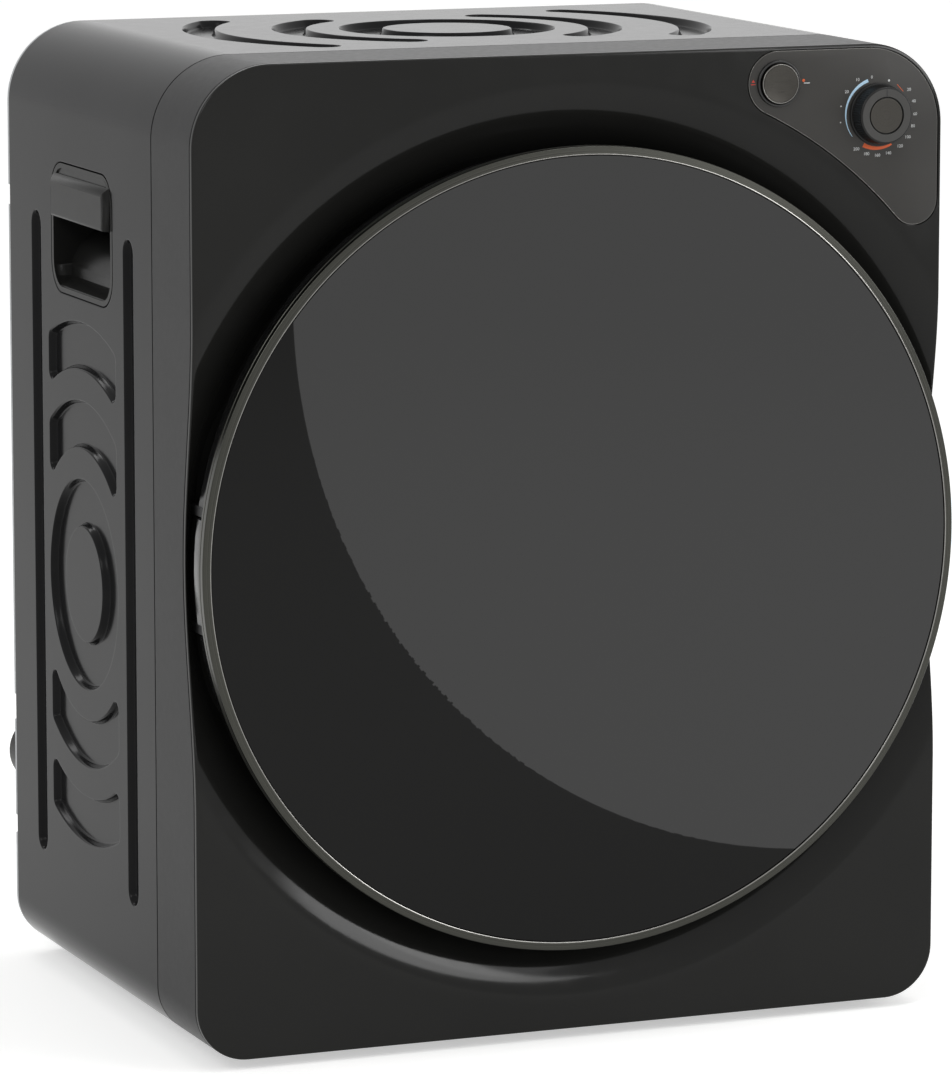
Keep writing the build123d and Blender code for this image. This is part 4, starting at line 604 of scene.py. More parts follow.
def spaced(start, *spans):
    """Rising values from the start; each span gives its end and its rough step."""
    values = [np.array([start])]
    for end, step in spans:
        begin = values[-1][-1]
        count = max(1, round((end - begin) / step))
        values.append(np.linspace(begin, end, count + 1)[1:])
    return np.concatenate(values)


def rounded(corners, radii, steps=6):
    """Closed outline whose corners are arcs.

    The arc's centre lies on the corner's bisector, at the radius over the sine of the half angle, and its
    ends lie on both sides at the radius over the tangent. A radius of zero keeps the corner.
    """
    here = np.array(corners, float)
    radius = np.broadcast_to(np.asarray(radii, float), len(here))
    back = np.roll(here, 1, 0) - here
    ahead = np.roll(here, -1, 0) - here
    back /= np.linalg.norm(back, axis=1, keepdims=True)
    ahead /= np.linalg.norm(ahead, axis=1, keepdims=True)
    middle = back + ahead
    middle /= np.maximum(np.linalg.norm(middle, axis=1, keepdims=True), 1e-12)
    half = np.arccos(np.clip(np.sum(middle * back, axis=1), -1, 1))
    centre = here + middle * (radius / np.sin(half))[:, None]
    start = here + back * (radius / np.tan(half))[:, None] - centre
    end = here + ahead * (radius / np.tan(half))[:, None] - centre
    first = np.arctan2(start[:, 1], start[:, 0])
    turn = (np.arctan2(end[:, 1], end[:, 0]) - first + pi) % (2 * pi) - pi
    angle = first[:, None] + turn[:, None] * np.linspace(0, 1, steps)
    arcs = centre[:, None] + radius[:, None, None] * np.stack([np.cos(angle), np.sin(angle)], -1)
    arcs[radius == 0] = here[radius == 0][:, None]
    points = arcs.reshape(-1, 2)
    apart = np.linalg.norm(points - np.roll(points, 1, 0), axis=1) > 1e-7
    return points[apart]


def braced(line, closed, close=0.12 * MM):
    """Line with two more points in each long run, near its ends, so that flats shade flat."""
    line = np.asarray(line, float)
    ahead = np.roll(line, -1, 0) - line
    gap = np.linalg.norm(ahead, axis=1, keepdims=True)
    run = np.flatnonzero(gap[:, 0] > 8 * close)
    if not closed:
        run = run[run < len(line) - 1]
    step = close * ahead[run] / gap[run]
    ends = np.stack([line[run] + step, line[run] + ahead[run] - step], 1).reshape(-1, 2)
    return np.insert(line, np.repeat(run + 1, 2), ends, 0)


def lathe(profile, x=0.0, z=AXIS, segments=256, ripple=None):
    """Turned form. A point of the profile, radius r and depth d, becomes x + r cos a, d, z + r sin a.

    A closed profile off the axis gives a ring. One that starts and ends on the axis is closed there by a
    point. The ripple is a function of row and angle that is added to the radius.
    """
    profile = np.asarray(profile, float)
    profile = braced(profile, closed=not (profile[:, 0] < 1e-9).any())
    angles = np.arange(segments) * 2 * pi / segments
    radius = profile[:, :1] + (ripple(profile, angles) if ripple else 0.0)
    across = x + radius * np.cos(angles)
    height = z + radius * np.sin(angles)
    depth = np.broadcast_to(profile[:, 1:], across.shape)
    points = np.stack([across, PANEL_FLAT + depth, height], -1)
    rows, columns = across.shape
    on_axis = profile[:, 0] < 1e-9
    squares = grid_faces(rows, columns, wrap_rows=not on_axis.any(), wrap_columns=True)
    if not on_axis.any():
        return points.reshape(-1, 3), [squares]
    first, last = 0, (rows - 1) * columns
    middle = squares[(squares[:, 0] >= columns) & (squares[:, 1] < last)]
    around = np.arange(columns)
    ahead = np.roll(around, -1)
    near = np.stack([np.full(columns, first), columns + around, columns + ahead], -1)
    ring = last - columns
    far = np.stack([ring + around, np.full(columns, last), ring + ahead], -1)
    return points.reshape(-1, 3), [middle, near, far]


def joined(*forms):
    """Several forms put together as the points and faces of one mesh."""
    points, faces, base = [], [], 0
    for form_points, form_faces in forms:
        form_faces = facing_out(form_points, form_faces)
        points.append(form_points)
        faces += [group + base for group in form_faces]
        base += len(form_points)
    triangles = [group for group in faces if group.shape[1] == 3]
    squares = [group for group in faces if group.shape[1] == 4]
    return np.concatenate(points), [np.concatenate(kind) for kind in (triangles, squares) if kind]


def mirrored(form):
    """A form and its faces seen in a mirror across the middle of the machine."""
    points, faces = form
    return points * np.array([-1.0, 1.0, 1.0]), [group[:, ::-1] for group in faces]


def merged_copy(node, name, sharp):
    """Copy of a CAD node's mesh, merged into one skin and shaded smooth but for its sharp edges."""
    mesh = frame["nodes"][node].data.copy()
    mesh.name = name
    mesh.materials.clear()
    work = bmesh.new()
    work.from_mesh(mesh)
    bmesh.ops.remove_doubles(work, verts=work.verts, dist=2e-6)
    bmesh.ops.dissolve_limit(work, angle_limit=radians(0.2), verts=work.verts, edges=work.edges)
    work.to_mesh(mesh)
    work.free()
    mesh.polygons.foreach_set("use_smooth", np.ones(len(mesh.polygons), bool))
    mesh.set_sharp_from_angle(angle=radians(sharp))
    return mesh


def eased_copy(node, name, bevel, segments=2, sharp=38.0):
    """Copy of a CAD node with its sharp edges bevelled."""
    piece = put(name, merged_copy(node, name, sharp), node)
    modifier = piece.modifiers.new("eased_edges", "BEVEL")
    modifier.width = bevel
    modifier.segments = segments
    modifier.limit_method = "ANGLE"
    modifier.angle_limit = radians(sharp)
    modifier.harden_normals = True
    return piece


def ease_only_beyond(piece, reach):
    """Bevel only the edges whose two ends lie farther than the reach from the middle of the machine."""
    mesh = piece.data
    ends = np.empty(2 * len(mesh.edges), np.int32)
    mesh.edges.foreach_get("vertices", ends)
    spots = np.empty(3 * len(mesh.vertices), np.float32)
    mesh.vertices.foreach_get("co", spots)
    out = abs(spots[::3]) > reach
    weights = mesh.attributes.new("bevel_weight_edge", "FLOAT", "EDGE")
    weights.data.foreach_set("value", out[ends].reshape(-1, 2).all(1).astype(np.float32))
    bevel = piece.modifiers["eased_edges"]
    bevel.limit_method = "WEIGHT"
    bevel.harden_normals = False
    piece.modifiers.new("flat_faces", "WEIGHTED_NORMAL").keep_sharp = True


def body_of_node(node):
    """Body that a CAD node rides on."""
    bodies = frame["record"]["behaviour"]["bodies"]
    return next(body for body, nodes in bodies.items() if node in nodes)


# Lines, levels and openings on a grid


def slope_of(field, spot, step=2e-6):
    """Slope of a field by differences to both sides."""
    shift = np.array([[step, 0.0], [0.0, step]])
    return np.stack([(field(spot + by) - field(spot - by)) / (2 * step) for by in shift], -1)


def drawn_to(spot, field):
    """Grid whose points beside the field's zero line have been moved onto it.

    Where a grid edge crosses the line, the nearer end moves down the field's slope by the value over the
    slope's square, three times.
    """
    value = field(spot)
    moving = np.zeros(value.shape, bool)
    for axis in (0, 1):
        size = value.shape[axis]
        low = np.take(value, range(size - 1), axis)
        high = np.take(value, range(1, size), axis)
        crossing = low * high < 0
        pad = np.zeros(np.take(value, [0], axis).shape, bool)
        moving |= np.concatenate([crossing & (abs(low) <= abs(high)), pad], axis)
        moving |= np.concatenate([pad, crossing & (abs(low) > abs(high))], axis)
    moved = spot.copy()
    for _ in range(3):
        points = moved[moving]
        slope = slope_of(field, points)
        size = np.maximum(np.sum(slope**2, -1), 1e-6)
        moved[moving] = points - (field(points) / size)[:, None] * slope
    return moved, moving


def split_by(squares, side, centre_side):
    """Faces on the positive side of a line; a square halved by the line gives the triangle on that side."""
    corner = side[squares]
    above = (corner > 0).any(1)
    below = (corner < 0).any(1)
    whole = (above & ~below) | (~above & ~below & (centre_side > 0))
    mixed = squares[above & below]
    first = np.argmax(side[mixed] > 0, 1)
    turned = np.take_along_axis(mixed, (first[:, None] + np.arange(4)) % 4, 1)
    return [squares[whole], turned[:, [3, 0, 1]]]


def open_edges(faces, count):
    """Directed edges that only one face uses."""
    start = np.concatenate([group.ravel() for group in faces])
    end = np.concatenate([np.roll(group, -1, 1).ravel() for group in faces])
    free = ~np.isin(start * count + end, end * count + start)
    return np.stack([start[free], end[free]], -1)


def arc_path(arcs, step=1.3 * MM):
    """Closed outline of arcs with straight runs between them, and its outward directions.

    An arc has its centre, its radius, the angles where it starts and ends, and 1 or -1 for an outline whose
    outside is outside or inside the circle. A straight run gets a point close to each of its ends.
    """
    spots, outward = [], []
    for across, up, radius, start, end, sign in arcs:
        turn = np.linspace(start, end, max(3, round(abs(end - start) * radius / step) + 1))
        way = np.stack([np.cos(turn), np.sin(turn)], -1)
        spots.append(np.array([across, up]) + radius * way)
        outward.append(sign * way)
    spots, outward = np.concatenate(spots), np.concatenate(outward)
    apart = np.linalg.norm(np.roll(spots, -1, 0) - spots, axis=1) > 1e-7
    spots, outward = spots[apart], outward[apart]
    ahead = np.roll(spots, -1, 0) - spots
    gap = np.linalg.norm(ahead, axis=1, keepdims=True)
    run = np.flatnonzero(gap[:, 0] > 3 * step)
    close = 0.3 * MM * ahead[run] / gap[run]
    ends = np.stack([spots[run] + close, spots[run] + ahead[run] - close], 1).reshape(-1, 2)
    ways = np.stack([outward[run], outward[(run + 1) % len(spots)]], 1).reshape(-1, 2)
    place = np.repeat(run + 1, 2)
    return np.insert(spots, place, ends, 0), np.insert(outward, place, ways, 0)


def circle_path(centre, radius, sign):
    """Whole circle, with its outside away from the centre or towards it."""
    return arc_path([(*centre, radius, 0.0, 2 * pi, sign)])


def bar_path(centre, inner, outer, reach, corner, flip):
    """Bar that a strip of half width reach cuts from a ring, with rounded corners; flip is 1 above, -1 below.

    A corner's circle touches the strip's edge and an arc, so its centre lies the corner's radius inside both.
    """
    side = reach - corner
    top, bottom = sqrt((outer - corner) ** 2 - side**2), sqrt((inner + corner) ** 2 - side**2)
    high, low = atan2(top, side), atan2(bottom, side)
    arcs = [
        (0.0, 0.0, outer, high, pi - high, 1),
        (-side, top, corner, pi - high, pi, 1),
        (-side, bottom, corner, pi, 2 * pi - low, 1),
        (0.0, 0.0, inner, pi - low, low, -1),
        (side, bottom, corner, pi + low, 2 * pi, 1),
        (side, top, corner, 0.0, high, 1),
    ]
    spots, outward = arc_path(arcs)
    turned = np.array([1.0, flip])
    return spots * turned + np.array(centre), outward * turned


def curved_slot_path(centre, inner, outer, reach, flip):
    """Arc of a ring with round ends; flip is 1 to the right of the middle, -1 to its left."""
    middle, half = (inner + outer) / 2, (outer - inner) / 2
    end = asin((reach - half) / middle)
    across, up = middle * cos(end), middle * sin(end)
    arcs = [
        (0.0, 0.0, outer, -end, end, 1),
        (across, up, half, end, end + pi, 1),
        (0.0, 0.0, inner, end, -end, -1),
        (across, -up, half, pi - end, 2 * pi - end, 1),
    ]
    spots, outward = arc_path(arcs)
    turned = np.array([flip, 1.0])
    return spots * turned + np.array(centre), outward * turned


def slot_path(across, half, low, high):
    """Upright slot with round ends."""
    return arc_path([(across, high - half, half, 0.0, pi, 1), (across, low + half, half, pi, 2 * pi, 1)])


def box_path(centre, size, corner):
    """Rectangle with rounded corners."""
    across, up = size[0] / 2 - corner, size[1] / 2 - corner
    quarters = ((across, up, 0.0), (-across, up, pi / 2), (-across, -up, pi), (across, -up, 1.5 * pi))
    arcs = [(centre[0] + x, centre[1] + y, corner, start, start + pi / 2, 1) for x, y, start in quarters]
    return arc_path(arcs, step=1.0 * MM)


def enclosed(spots, loops):
    """Whether a level line to the right of each spot meets the closed loops an odd number of times."""
    start = np.concatenate(loops)
    run = np.concatenate([np.roll(loop, -1, 0) for loop in loops]) - start
    above = (start[:, 1] > spots[:, 1:]) != (start[:, 1] + run[:, 1] > spots[:, 1:])
    rise = np.where(run[:, 1] == 0, 1.0, run[:, 1])
    crossing = start[:, 0] + (spots[:, 1:] - start[:, 1]) * run[:, 0] / rise
    return (above & (spots[:, :1] < crossing)).sum(1) % 2 == 1


def filled(flat, loops):
    """Triangles of the plane between closed loops of point numbers, whose sides they keep."""
    wanted = np.concatenate(loops)
    sizes = np.cumsum([0] + [len(loop) for loop in loops])
    sides = []
    for low, high in zip(sizes, sizes[1:]):
        here = np.arange(low, high)
        sides += np.stack([here, np.roll(here, -1)], -1).tolist()
    spots = [Vector(spot) for spot in flat[wanted]]
    result = delaunay_2d_cdt(spots, sides, [], 0, 1e-7)
    number = np.array([wanted[sources[0]] if sources else -1 for sources in result[3]])
    return number[np.array(result[2])]


def pressed_sheet(first, second, block, outlines, place, wall):
    """Closed sheet with stampings and holes.

    first and second are the grid lines of the sheet's own plane, and block is the range of lines round its
    flat middle, where triangles fit round the outlines. An outline is a path, rows of the distance outside
    it and the depth pressed in there, and whether its last row holds a floor. place puts points of the plane
    in space at a distance inward, and the inner skin lies one wall further in.
    """
    grid = np.stack(np.meshgrid(first, second, indexing="ij"), -1).reshape(-1, 2)
    number = np.arange(len(grid)).reshape(len(first), len(second))
    (left, right), (low, high) = block
    border = [number[left:right, low], number[right, low:high]]
    border += [number[right:left:-1, high], number[left, high:low:-1]]
    squares = grid_faces(len(first), len(second))
    column, row = np.divmod(squares[:, 0], len(second))
    middle = (column >= left) & (column < right) & (row >= low) & (row < high)
    flat, press, strips = [grid], [np.zeros(len(grid))], [squares[~middle]]
    edges, floors, base = [], [], len(grid)
    for (spots, outward), rows, floor in outlines:
        distance, depth = np.array(rows).T
        band = spots + distance[:, None, None] * outward
        flat.append(band.reshape(-1, 2))
        press.append(np.repeat(depth, len(spots)))
        strips.append(base + grid_faces(len(rows), len(spots), wrap_columns=True))
        edges.append(base + np.arange(len(spots)))
        if floor:
            floors.append(edges[-1] + (len(rows) - 1) * len(spots))
        base += len(rows) * len(spots)
    flat, press, strips = np.concatenate(flat), np.concatenate(press), np.concatenate(strips)
    triangles = filled(flat, [np.concatenate(border)] + edges + floors)
    centre = flat[triangles].mean(1)
    kept = ~enclosed(centre, [flat[loop] for loop in edges])
    if floors:
        kept |= enclosed(centre, [flat[loop] for loop in floors])
    faces = []
    for group in (triangles[kept], strips):
        one = flat[group[:, 1]] - flat[group[:, 0]]
        other = flat[group[:, -1]] - flat[group[:, 0]]
        turned = one[:, 0] * other[:, 1] < one[:, 1] * other[:, 0]
        faces.append(np.where(turned[:, None], group[:, ::-1], group))
    count = len(flat)
    edge = open_edges(faces, count)
    rim = np.stack([edge[:, 1], edge[:, 0], edge[:, 0] + count, edge[:, 1] + count], -1)
    skins = faces + [group[:, ::-1] + count for group in faces] + [rim]
    return np.concatenate([place(flat, press), place(flat, press + wall)]), skins


# Cabinet


def perimeter(along, inset=0.0):
    """Right half of the cabinet's outline by the distance along it from the foot of its flat side.

    Each corner turns by the distance past its start over its radius, up to a quarter turn, and beyond it
    the line runs straight towards the middle. Gives the points and their outward directions.
    """
    size = cabinet()
    bottom, top = size.bottom_corner, size.top_corner
    flat = CROWN - SILL - top - bottom
    low_turn = np.clip(-along / bottom, 0, pi / 2)
    high_turn = np.clip((along - flat) / top, 0, pi / 2)
    strips = np.clip(-along - bottom * pi / 2, 0, None) + np.clip(along - flat - top * pi / 2, 0, None)
    across = HALF - bottom * (1 - np.cos(low_turn)) - top * (1 - np.cos(high_turn)) - strips
    height = SILL + bottom + np.clip(along, 0, flat) - bottom * np.sin(low_turn) + top * np.sin(high_turn)
    turn = high_turn - low_turn
    outward = np.stack([np.cos(turn), np.sin(turn)], -1)
    return np.stack([across, height], -1) - inset * outward, outward


def outline_loop():
    """Points of the whole outline and their outward directions, up the right side and down the left."""
    size = cabinet()
    flat = CROWN - SILL - size.top_corner - size.bottom_corner
    bottom_arc = size.bottom_corner * pi / 2
    top_arc = size.top_corner * pi / 2
    along = spaced(
        -bottom_arc - (HALF - size.bottom_corner),
        (-bottom_arc, 5 * MM),
        (0.0, 2.5 * MM),
        (flat, 4.5 * MM),
        (flat + top_arc, 3 * MM),
        (flat + top_arc + HALF - size.top_corner, 5 * MM),
    )
    points, outward = perimeter(along)
    flip = np.array([-1.0, 1.0])
    left = slice(-2, 0, -1)
    return np.concatenate([points, points[left] * flip]), np.concatenate([outward, outward[left] * flip])


# Distance between a bend and the line that keeps the flat beside it flat, and radius of a sheet's rolled edge.
BRACE = 0.4 * MM
EDGE_ROLL = 0.5 * MM


def stamp_rows():
    """Rows of a stamped wall: distance outside the line and depth, a smooth step over the wall's run."""
    size = stamps()
    share = np.linspace(0, 1, 10)
    rows = np.column_stack([size.shoulder - size.run * share, size.depth * share**2 * (3 - 2 * share)])
    outside, inside = size.shoulder + BRACE, size.shoulder - size.run - BRACE
    return [(outside, 0.0), *rows.tolist(), (inside, size.depth)]


def hole_rows(roll=0.6 * MM):
    """Rows of a hole's turned-in edge: a quarter circle."""
    turn = np.linspace(0, pi / 2, 5)
    rows = np.column_stack([roll * (1 - np.sin(turn)), roll * (1 - np.cos(turn))])
    return [(roll + BRACE, 0.0), *rows.tolist()]


SIDE_RING = (36.4 * MM, 66.0 * MM)
SIDE_BARS = ((85.7 * MM, 115.2 * MM), (134.9 * MM, 164.4 * MM))
GROOVE_DEPTHS = (117.6 * MM, 296.3 * MM)
TOP_RING = (40.4 * MM, 68.0 * MM)
TOP_BARS = ((88.6 * MM, 110.3 * MM, 92.5 * MM), (145.7 * MM, 166.4 * MM, 110.0 * MM))


def side_outlines():
    """Stampings and handle hole of a side, in depth and height: ring, four bars, two grooves, one hole."""
    size, grip = stamps(), handle()
    centre = (size.centre_depth, AXIS - size.side_drop)
    paths = [circle_path(centre, radius, sign) for radius, sign in zip(SIDE_RING, (-1, 1))]
    for radii in SIDE_BARS:
        paths += [bar_path(centre, *radii, size.side_reach, size.corner, flip) for flip in (1, -1)]
    low, high = SILL + size.groove_low, CROWN - size.groove_drop
    paths += [slot_path(depth, size.groove_half, low, high) for depth in GROOVE_DEPTHS]
    hole_size = (grip.width + 2 * grip.edge, grip.tall + 2 * grip.edge)
    hole = box_path((grip.depth, CROWN - grip.drop), hole_size, grip.corner + grip.edge)
    return [(path, stamp_rows(), True) for path in paths] + [(hole, hole_rows(), False)]


def top_outlines():
    """Stampings of the top, across and in depth: ring and four curved slots."""
    centre = (0.0, stamps().centre_depth)
    paths = [circle_path(centre, radius, sign) for radius, sign in zip(TOP_RING, (-1, 1))]
    paths += [curved_slot_path(centre, *slot, flip) for slot in TOP_BARS for flip in (1, -1)]
    return [(path, stamp_rows(), True) for path in paths]


def sheet_depths():
    """Depths of a sheet's lines: a rolled front edge, the flat between two close lines, a rolled back edge."""
    near = cabinet().frame_depth + cabinet().seam / 2
    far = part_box("cabinet_shell")[1].y - PANEL_FLAT
    roll, close = EDGE_ROLL, EDGE_ROLL + BRACE
    spans = [(near + roll, roll / 4), (near + close, close), (far - close, 28 * MM), (far - roll, close)]
    return spaced(near, *spans, (far, roll / 4))


def flat_depths(depth):
    """Numbers of the two lines between which a sheet is flat from front to back."""
    return [line_at(depth, depth[0] + EDGE_ROLL + BRACE), line_at(depth, depth[-1] - EDGE_ROLL - BRACE)]


def line_at(lines, value):
    """Number of the line at a value."""
    return int(np.argmin(abs(lines - value)))


def edge_roll(depth, near, far):
    """How far the sheet draws in at its front and back edges: a quarter circle."""
    to_edge = np.minimum(depth - near, far - depth)
    missing = np.clip(EDGE_ROLL - to_edge, 0, EDGE_ROLL)
    return EDGE_ROLL - np.sqrt(EDGE_ROLL**2 - missing**2)


def side_sheet():
    """Right side sheet with its two corners, unrolled into depth and height, pressed in by the pattern."""
    size = cabinet()
    depth = sheet_depths()
    foot = SILL + size.bottom_corner
    flat = CROWN - size.top_corner
    turned = foot - size.bottom_corner * pi / 2
    spans = [(turned - BRACE, 20 * MM), (turned, BRACE), (foot, 1.4 * MM), (foot + BRACE, BRACE)]
    spans += [(flat - BRACE, 28 * MM), (flat, BRACE), (flat + size.top_corner * pi / 2, 1.6 * MM)]
    height = spaced(turned - size.side_strip, *spans)
    block = [flat_depths(depth), [line_at(height, end) for end in (foot + BRACE, flat - BRACE)]]

    def place(spot, inward):
        """Point at a depth and unrolled height, moved inward from the outline."""
        points, outward = perimeter(spot[..., 1] - foot)
        points = points - (inward + edge_roll(spot[..., 0], depth[0], depth[-1]))[..., None] * outward
        return np.stack([points[..., 0], PANEL_FLAT + spot[..., 0], points[..., 1]], -1)

    return pressed_sheet(depth, height, block, side_outlines(), place, size.sheet)


def top_sheet():
    """Top sheet: a flat between the two corners, pressed down by the pattern."""
    size = cabinet()
    edge = HALF - size.top_corner - 0.15 * MM
    depth = sheet_depths()
    across = spaced(-edge, (-edge + BRACE, MM), (edge - BRACE, 28 * MM), (edge, MM))
    block = [[1, len(across) - 2], flat_depths(depth)]

    def place(spot, inward):
        """Point across and at a depth, pressed down from the top."""
        pressed = inward + edge_roll(spot[..., 1], depth[0], depth[-1])
        return np.stack([spot[..., 0], PANEL_FLAT + spot[..., 1], CROWN - pressed], -1)

    return pressed_sheet(across, depth, block, top_outlines(), place, size.sheet)


def outline_tube(section):
    """Form with the same section all round the outline; section is inset and depth, closed."""
    base, outward = outline_loop()
    section = np.asarray(section, float)
    flat = base[None] - section[:, None, :1] * outward[None]
    depth = np.broadcast_to(section[:, None, 1], flat.shape[:2])
    points = np.stack([flat[..., 0], PANEL_FLAT + depth, flat[..., 1]], -1)
    return points.reshape(-1, 3), [grid_faces(*flat.shape[:2], wrap_rows=True, wrap_columns=True)]


# Front


# Rows of the front panel between the port and the outline.
FRONT_ROWS = 84


def dish_rim():
    """Radius at which the front panel starts to dip."""
    return DOOR_RADIUS + cabinet().dish_margin


def dish_depth(radius):
    """Depth of the panel at a radius: flat floor, small blend, rolled edge and flat rim.

    The roll is a circle about the rim's radius, one roll radius behind the flat. The blend is a circle that
    touches it and the floor.
    """
    size = cabinet()
    rim, roll, floor, blend = dish_rim(), size.dish_roll, size.dish_depth, size.dish_blend
    rise = roll - floor + blend
    blend_radius = rim - sqrt((roll + blend) ** 2 - rise**2)
    meet = blend_radius + blend * (rim - blend_radius) / (roll + blend)
    rolled = roll - np.sqrt(np.maximum(roll**2 - np.clip(rim - radius, 0, roll) ** 2, 0))
    blended = floor - blend + np.sqrt(np.maximum(blend**2 - (radius - blend_radius) ** 2, 0))
    depth = np.where(radius < meet, blended, rolled)
    depth = np.where(radius < blend_radius, floor, depth)
    return np.where(radius > rim, 0.0, depth)


def panel_rows():
    """Rows of the front panel, each a ring of points across, height and depth.

    The front rows run straight from the port to the outline and take the dish's depth at their own radius.
    The others go round the outer edge, along the back and round the port's lip.
    """
    size = cabinet()
    base, outward = outline_loop()
    centre = np.array([0.0, AXIS])
    towards = (base - centre) / np.linalg.norm(base - centre, axis=1, keepdims=True)
    port, wall, edge = size.port_radius, size.panel_wall, size.panel_edge

    def row(points, behind):
        """Ring of points with the dish's depth and a distance behind it."""
        radius = np.linalg.norm(points - centre, axis=1)
        return np.column_stack([points, dish_depth(radius) + behind])

    inner = centre + (port + edge) * towards
    outer = base - edge * outward
    rows = [row(inner + share * (outer - inner), 0.0) for share in np.linspace(0, 1, FRONT_ROWS)]
    for turn in np.linspace(0, pi / 2, 6)[1:]:
        rows.append(row(base - edge * (1 - sin(turn)) * outward, edge * (1 - cos(turn))))
    rows.append(row(base, wall))
    for share in (0.0, 0.3, 0.4, 0.5, 0.6, 0.7):
        rows.append(row(base - wall * outward + share * (inner - base), wall))
    floor = size.dish_depth
    lip = floor + size.port_lip
    rings = [(port + wall, floor + wall), (port + wall, lip), (port, lip), (port, floor + edge)]
    for turn in (pi / 8, pi / 4, 3 * pi / 8):
        rings.append((port + edge * (1 - cos(turn)), floor + edge * (1 - sin(turn))))
    for radius, depth in rings:
        rows.append(np.column_stack([centre + radius * towards, np.full(len(base), depth)]))
    return np.stack(rows)


def fascia_outline(grow=0.0):
    """Outline of the control plate, grown by a distance; it has as many points whatever the distance.

    Round about the button, along the top, round the corner, down the side, round below the knob, and back
    along a circle about the door.
    """
    plate, size = controls(), cabinet()
    margin = plate.margin - grow
    corner = size.top_corner - margin
    end, cap = plate.end_radius + grow, plate.button_end + grow
    button_x, button_z = button_place()
    dish = hypot(button_x, button_z - AXIS) - cap
    end_x = HALF - margin - end
    end_z = AXIS + sqrt((dish + end) ** 2 - end_x**2)
    arcs = [
        (button_x, button_z, cap, atan2(AXIS - button_z, -button_x) + 2 * pi, pi / 2, 60),
        (HALF - size.top_corner, CROWN - size.top_corner, corner, pi / 2, 0.0, 60),
        (end_x, end_z, end, 0.0, atan2(AXIS - end_z, -end_x), 48),
        (0.0, AXIS, dish, atan2(end_z - AXIS, end_x), atan2(button_z - AXIS, button_x), 90),
    ]
    points = []
    for x, z, radius, start, finish, count in arcs:
        turn = np.linspace(start, finish, count)
        points.append(np.column_stack([x + radius * np.cos(turn), z + radius * np.sin(turn)]))
    return np.concatenate(points)


def outline_field(outline):
    """Field of the distance outside a closed outline of points, negative inside it."""
    run = np.roll(outline, -1, 0) - outline
    length2 = np.maximum(np.sum(run**2, 1), 1e-18)

    def field(spot):
        """Distance to the nearest side, with a minus sign inside the outline."""
        flat = spot.reshape(-1, 2)
        away = flat[:, None] - outline
        share = np.clip(np.sum(away * run, 2) / length2, 0, 1)
        distance = np.sqrt(np.min(np.sum((away - share[..., None] * run) ** 2, 2), 1))
        return np.where(enclosed(flat, [outline]), -distance, distance).reshape(spot.shape[:-1])

    return field


def near_only(field, low, high):
    """The field inside a box of the plane, and a large value outside it, which saves work."""

    def limited(spot):
        """Distance where it matters."""
        value = np.full(spot.shape[:-1], 1.0)
        close = np.all((spot > low) & (spot < high), axis=-1)
        value[close] = field(spot[close])
        return value

    return limited


def front_panel():
    """Front panel as a closed grid, with a pocket sunk into it for the control plate."""
    rows = panel_rows()
    flat, depth = rows[..., :2].copy(), rows[..., 2].copy()
    outline = fascia_outline(controls().gap)
    field = near_only(outline_field(outline), outline.min(0) - 6 * MM, outline.max(0) + 6 * MM)
    moved, on_line = drawn_to(flat[:FRONT_ROWS], field)
    flat[:FRONT_ROWS] = moved
    depth[:FRONT_ROWS] = dish_depth(np.linalg.norm(moved - np.array([0.0, AXIS]), axis=-1))
    points = np.stack([flat[..., 0], PANEL_FLAT + depth, flat[..., 1]], -1).reshape(-1, 3)
    count = len(points)
    squares = grid_faces(*flat.shape[:2], wrap_rows=True, wrap_columns=True)
    side = np.ones(count)
    side[: on_line.size] = np.where(on_line, 0, np.sign(field(moved))).ravel()
    on_front = (squares < on_line.size).all(1)
    middle = flat.reshape(-1, 2)[squares].mean(1)
    centre_side = np.where(on_front, field(middle), 1.0)
    kept = split_by(squares, side, centre_side)
    sunk = split_by(squares, -side, -centre_side)
    edge = open_edges(kept, count)
    wall = np.stack([edge[:, 1], edge[:, 0], edge[:, 0] + count, edge[:, 1] + count], -1)
    below = points + np.array([0.0, cabinet().panel_wall - 0.4 * MM, 0.0])
    faces = kept + [group + count for group in sunk] + [wall]
    return np.concatenate([points, below]), faces


def frame_band():
    """Moulded frame behind the panel.

    Its section, inset against depth, has a ledge behind the panel, the groove, the outer wall, and a spigot
    inside the sheet; its front follows the dish.
    """
    size = cabinet()
    base, outward = outline_loop()
    back = size.frame_depth - size.seam / 2
    ledge, groove = size.frame_wall + size.ledge, size.frame_wall / 2
    wall, front = size.panel_wall, size.panel_wall + size.panel_gap
    outer, inner = size.spigot_inset, size.spigot_inset + size.spigot_wall
    soft, corner = 0.5 * MM, 0.15 * MM
    dished, flat = True, False
    section = [
        (ledge, wall + 0.1 * MM, dished),
        (groove, wall + 0.1 * MM, dished),
        (groove, front, dished),
        (soft, front, dished),
        (corner, front + corner, dished),
        (0.0, front + soft, dished),
        (0.0, front + 2 * soft, dished),
        (0.0, back - 2 * soft, flat),
        (0.0, back - soft, flat),
        (corner, back - corner, flat),
        (soft, back, flat),
        (outer, back, flat),
        (outer, back + size.spigot, flat),
        (inner, back + size.spigot, flat),
        (inner, wall + 6 * MM, dished),
        (ledge, wall + 2.6 * MM, dished),
    ]
    rows = []
    for inset, depth, follows in section:
        points = base - inset * outward
        dip = dish_depth(np.hypot(points[:, 0], points[:, 1] - AXIS)) if follows else np.zeros(len(points))
        rows.append(np.column_stack([points[:, 0], PANEL_FLAT + depth + dip, points[:, 1]]))
    return np.concatenate(rows), [grid_faces(len(rows), len(base), wrap_rows=True, wrap_columns=True)]


# Controls


def knob_place():
    """Across and height of the knob's axis."""
    return HALF - controls().knob_inset, CROWN - controls().knob_drop


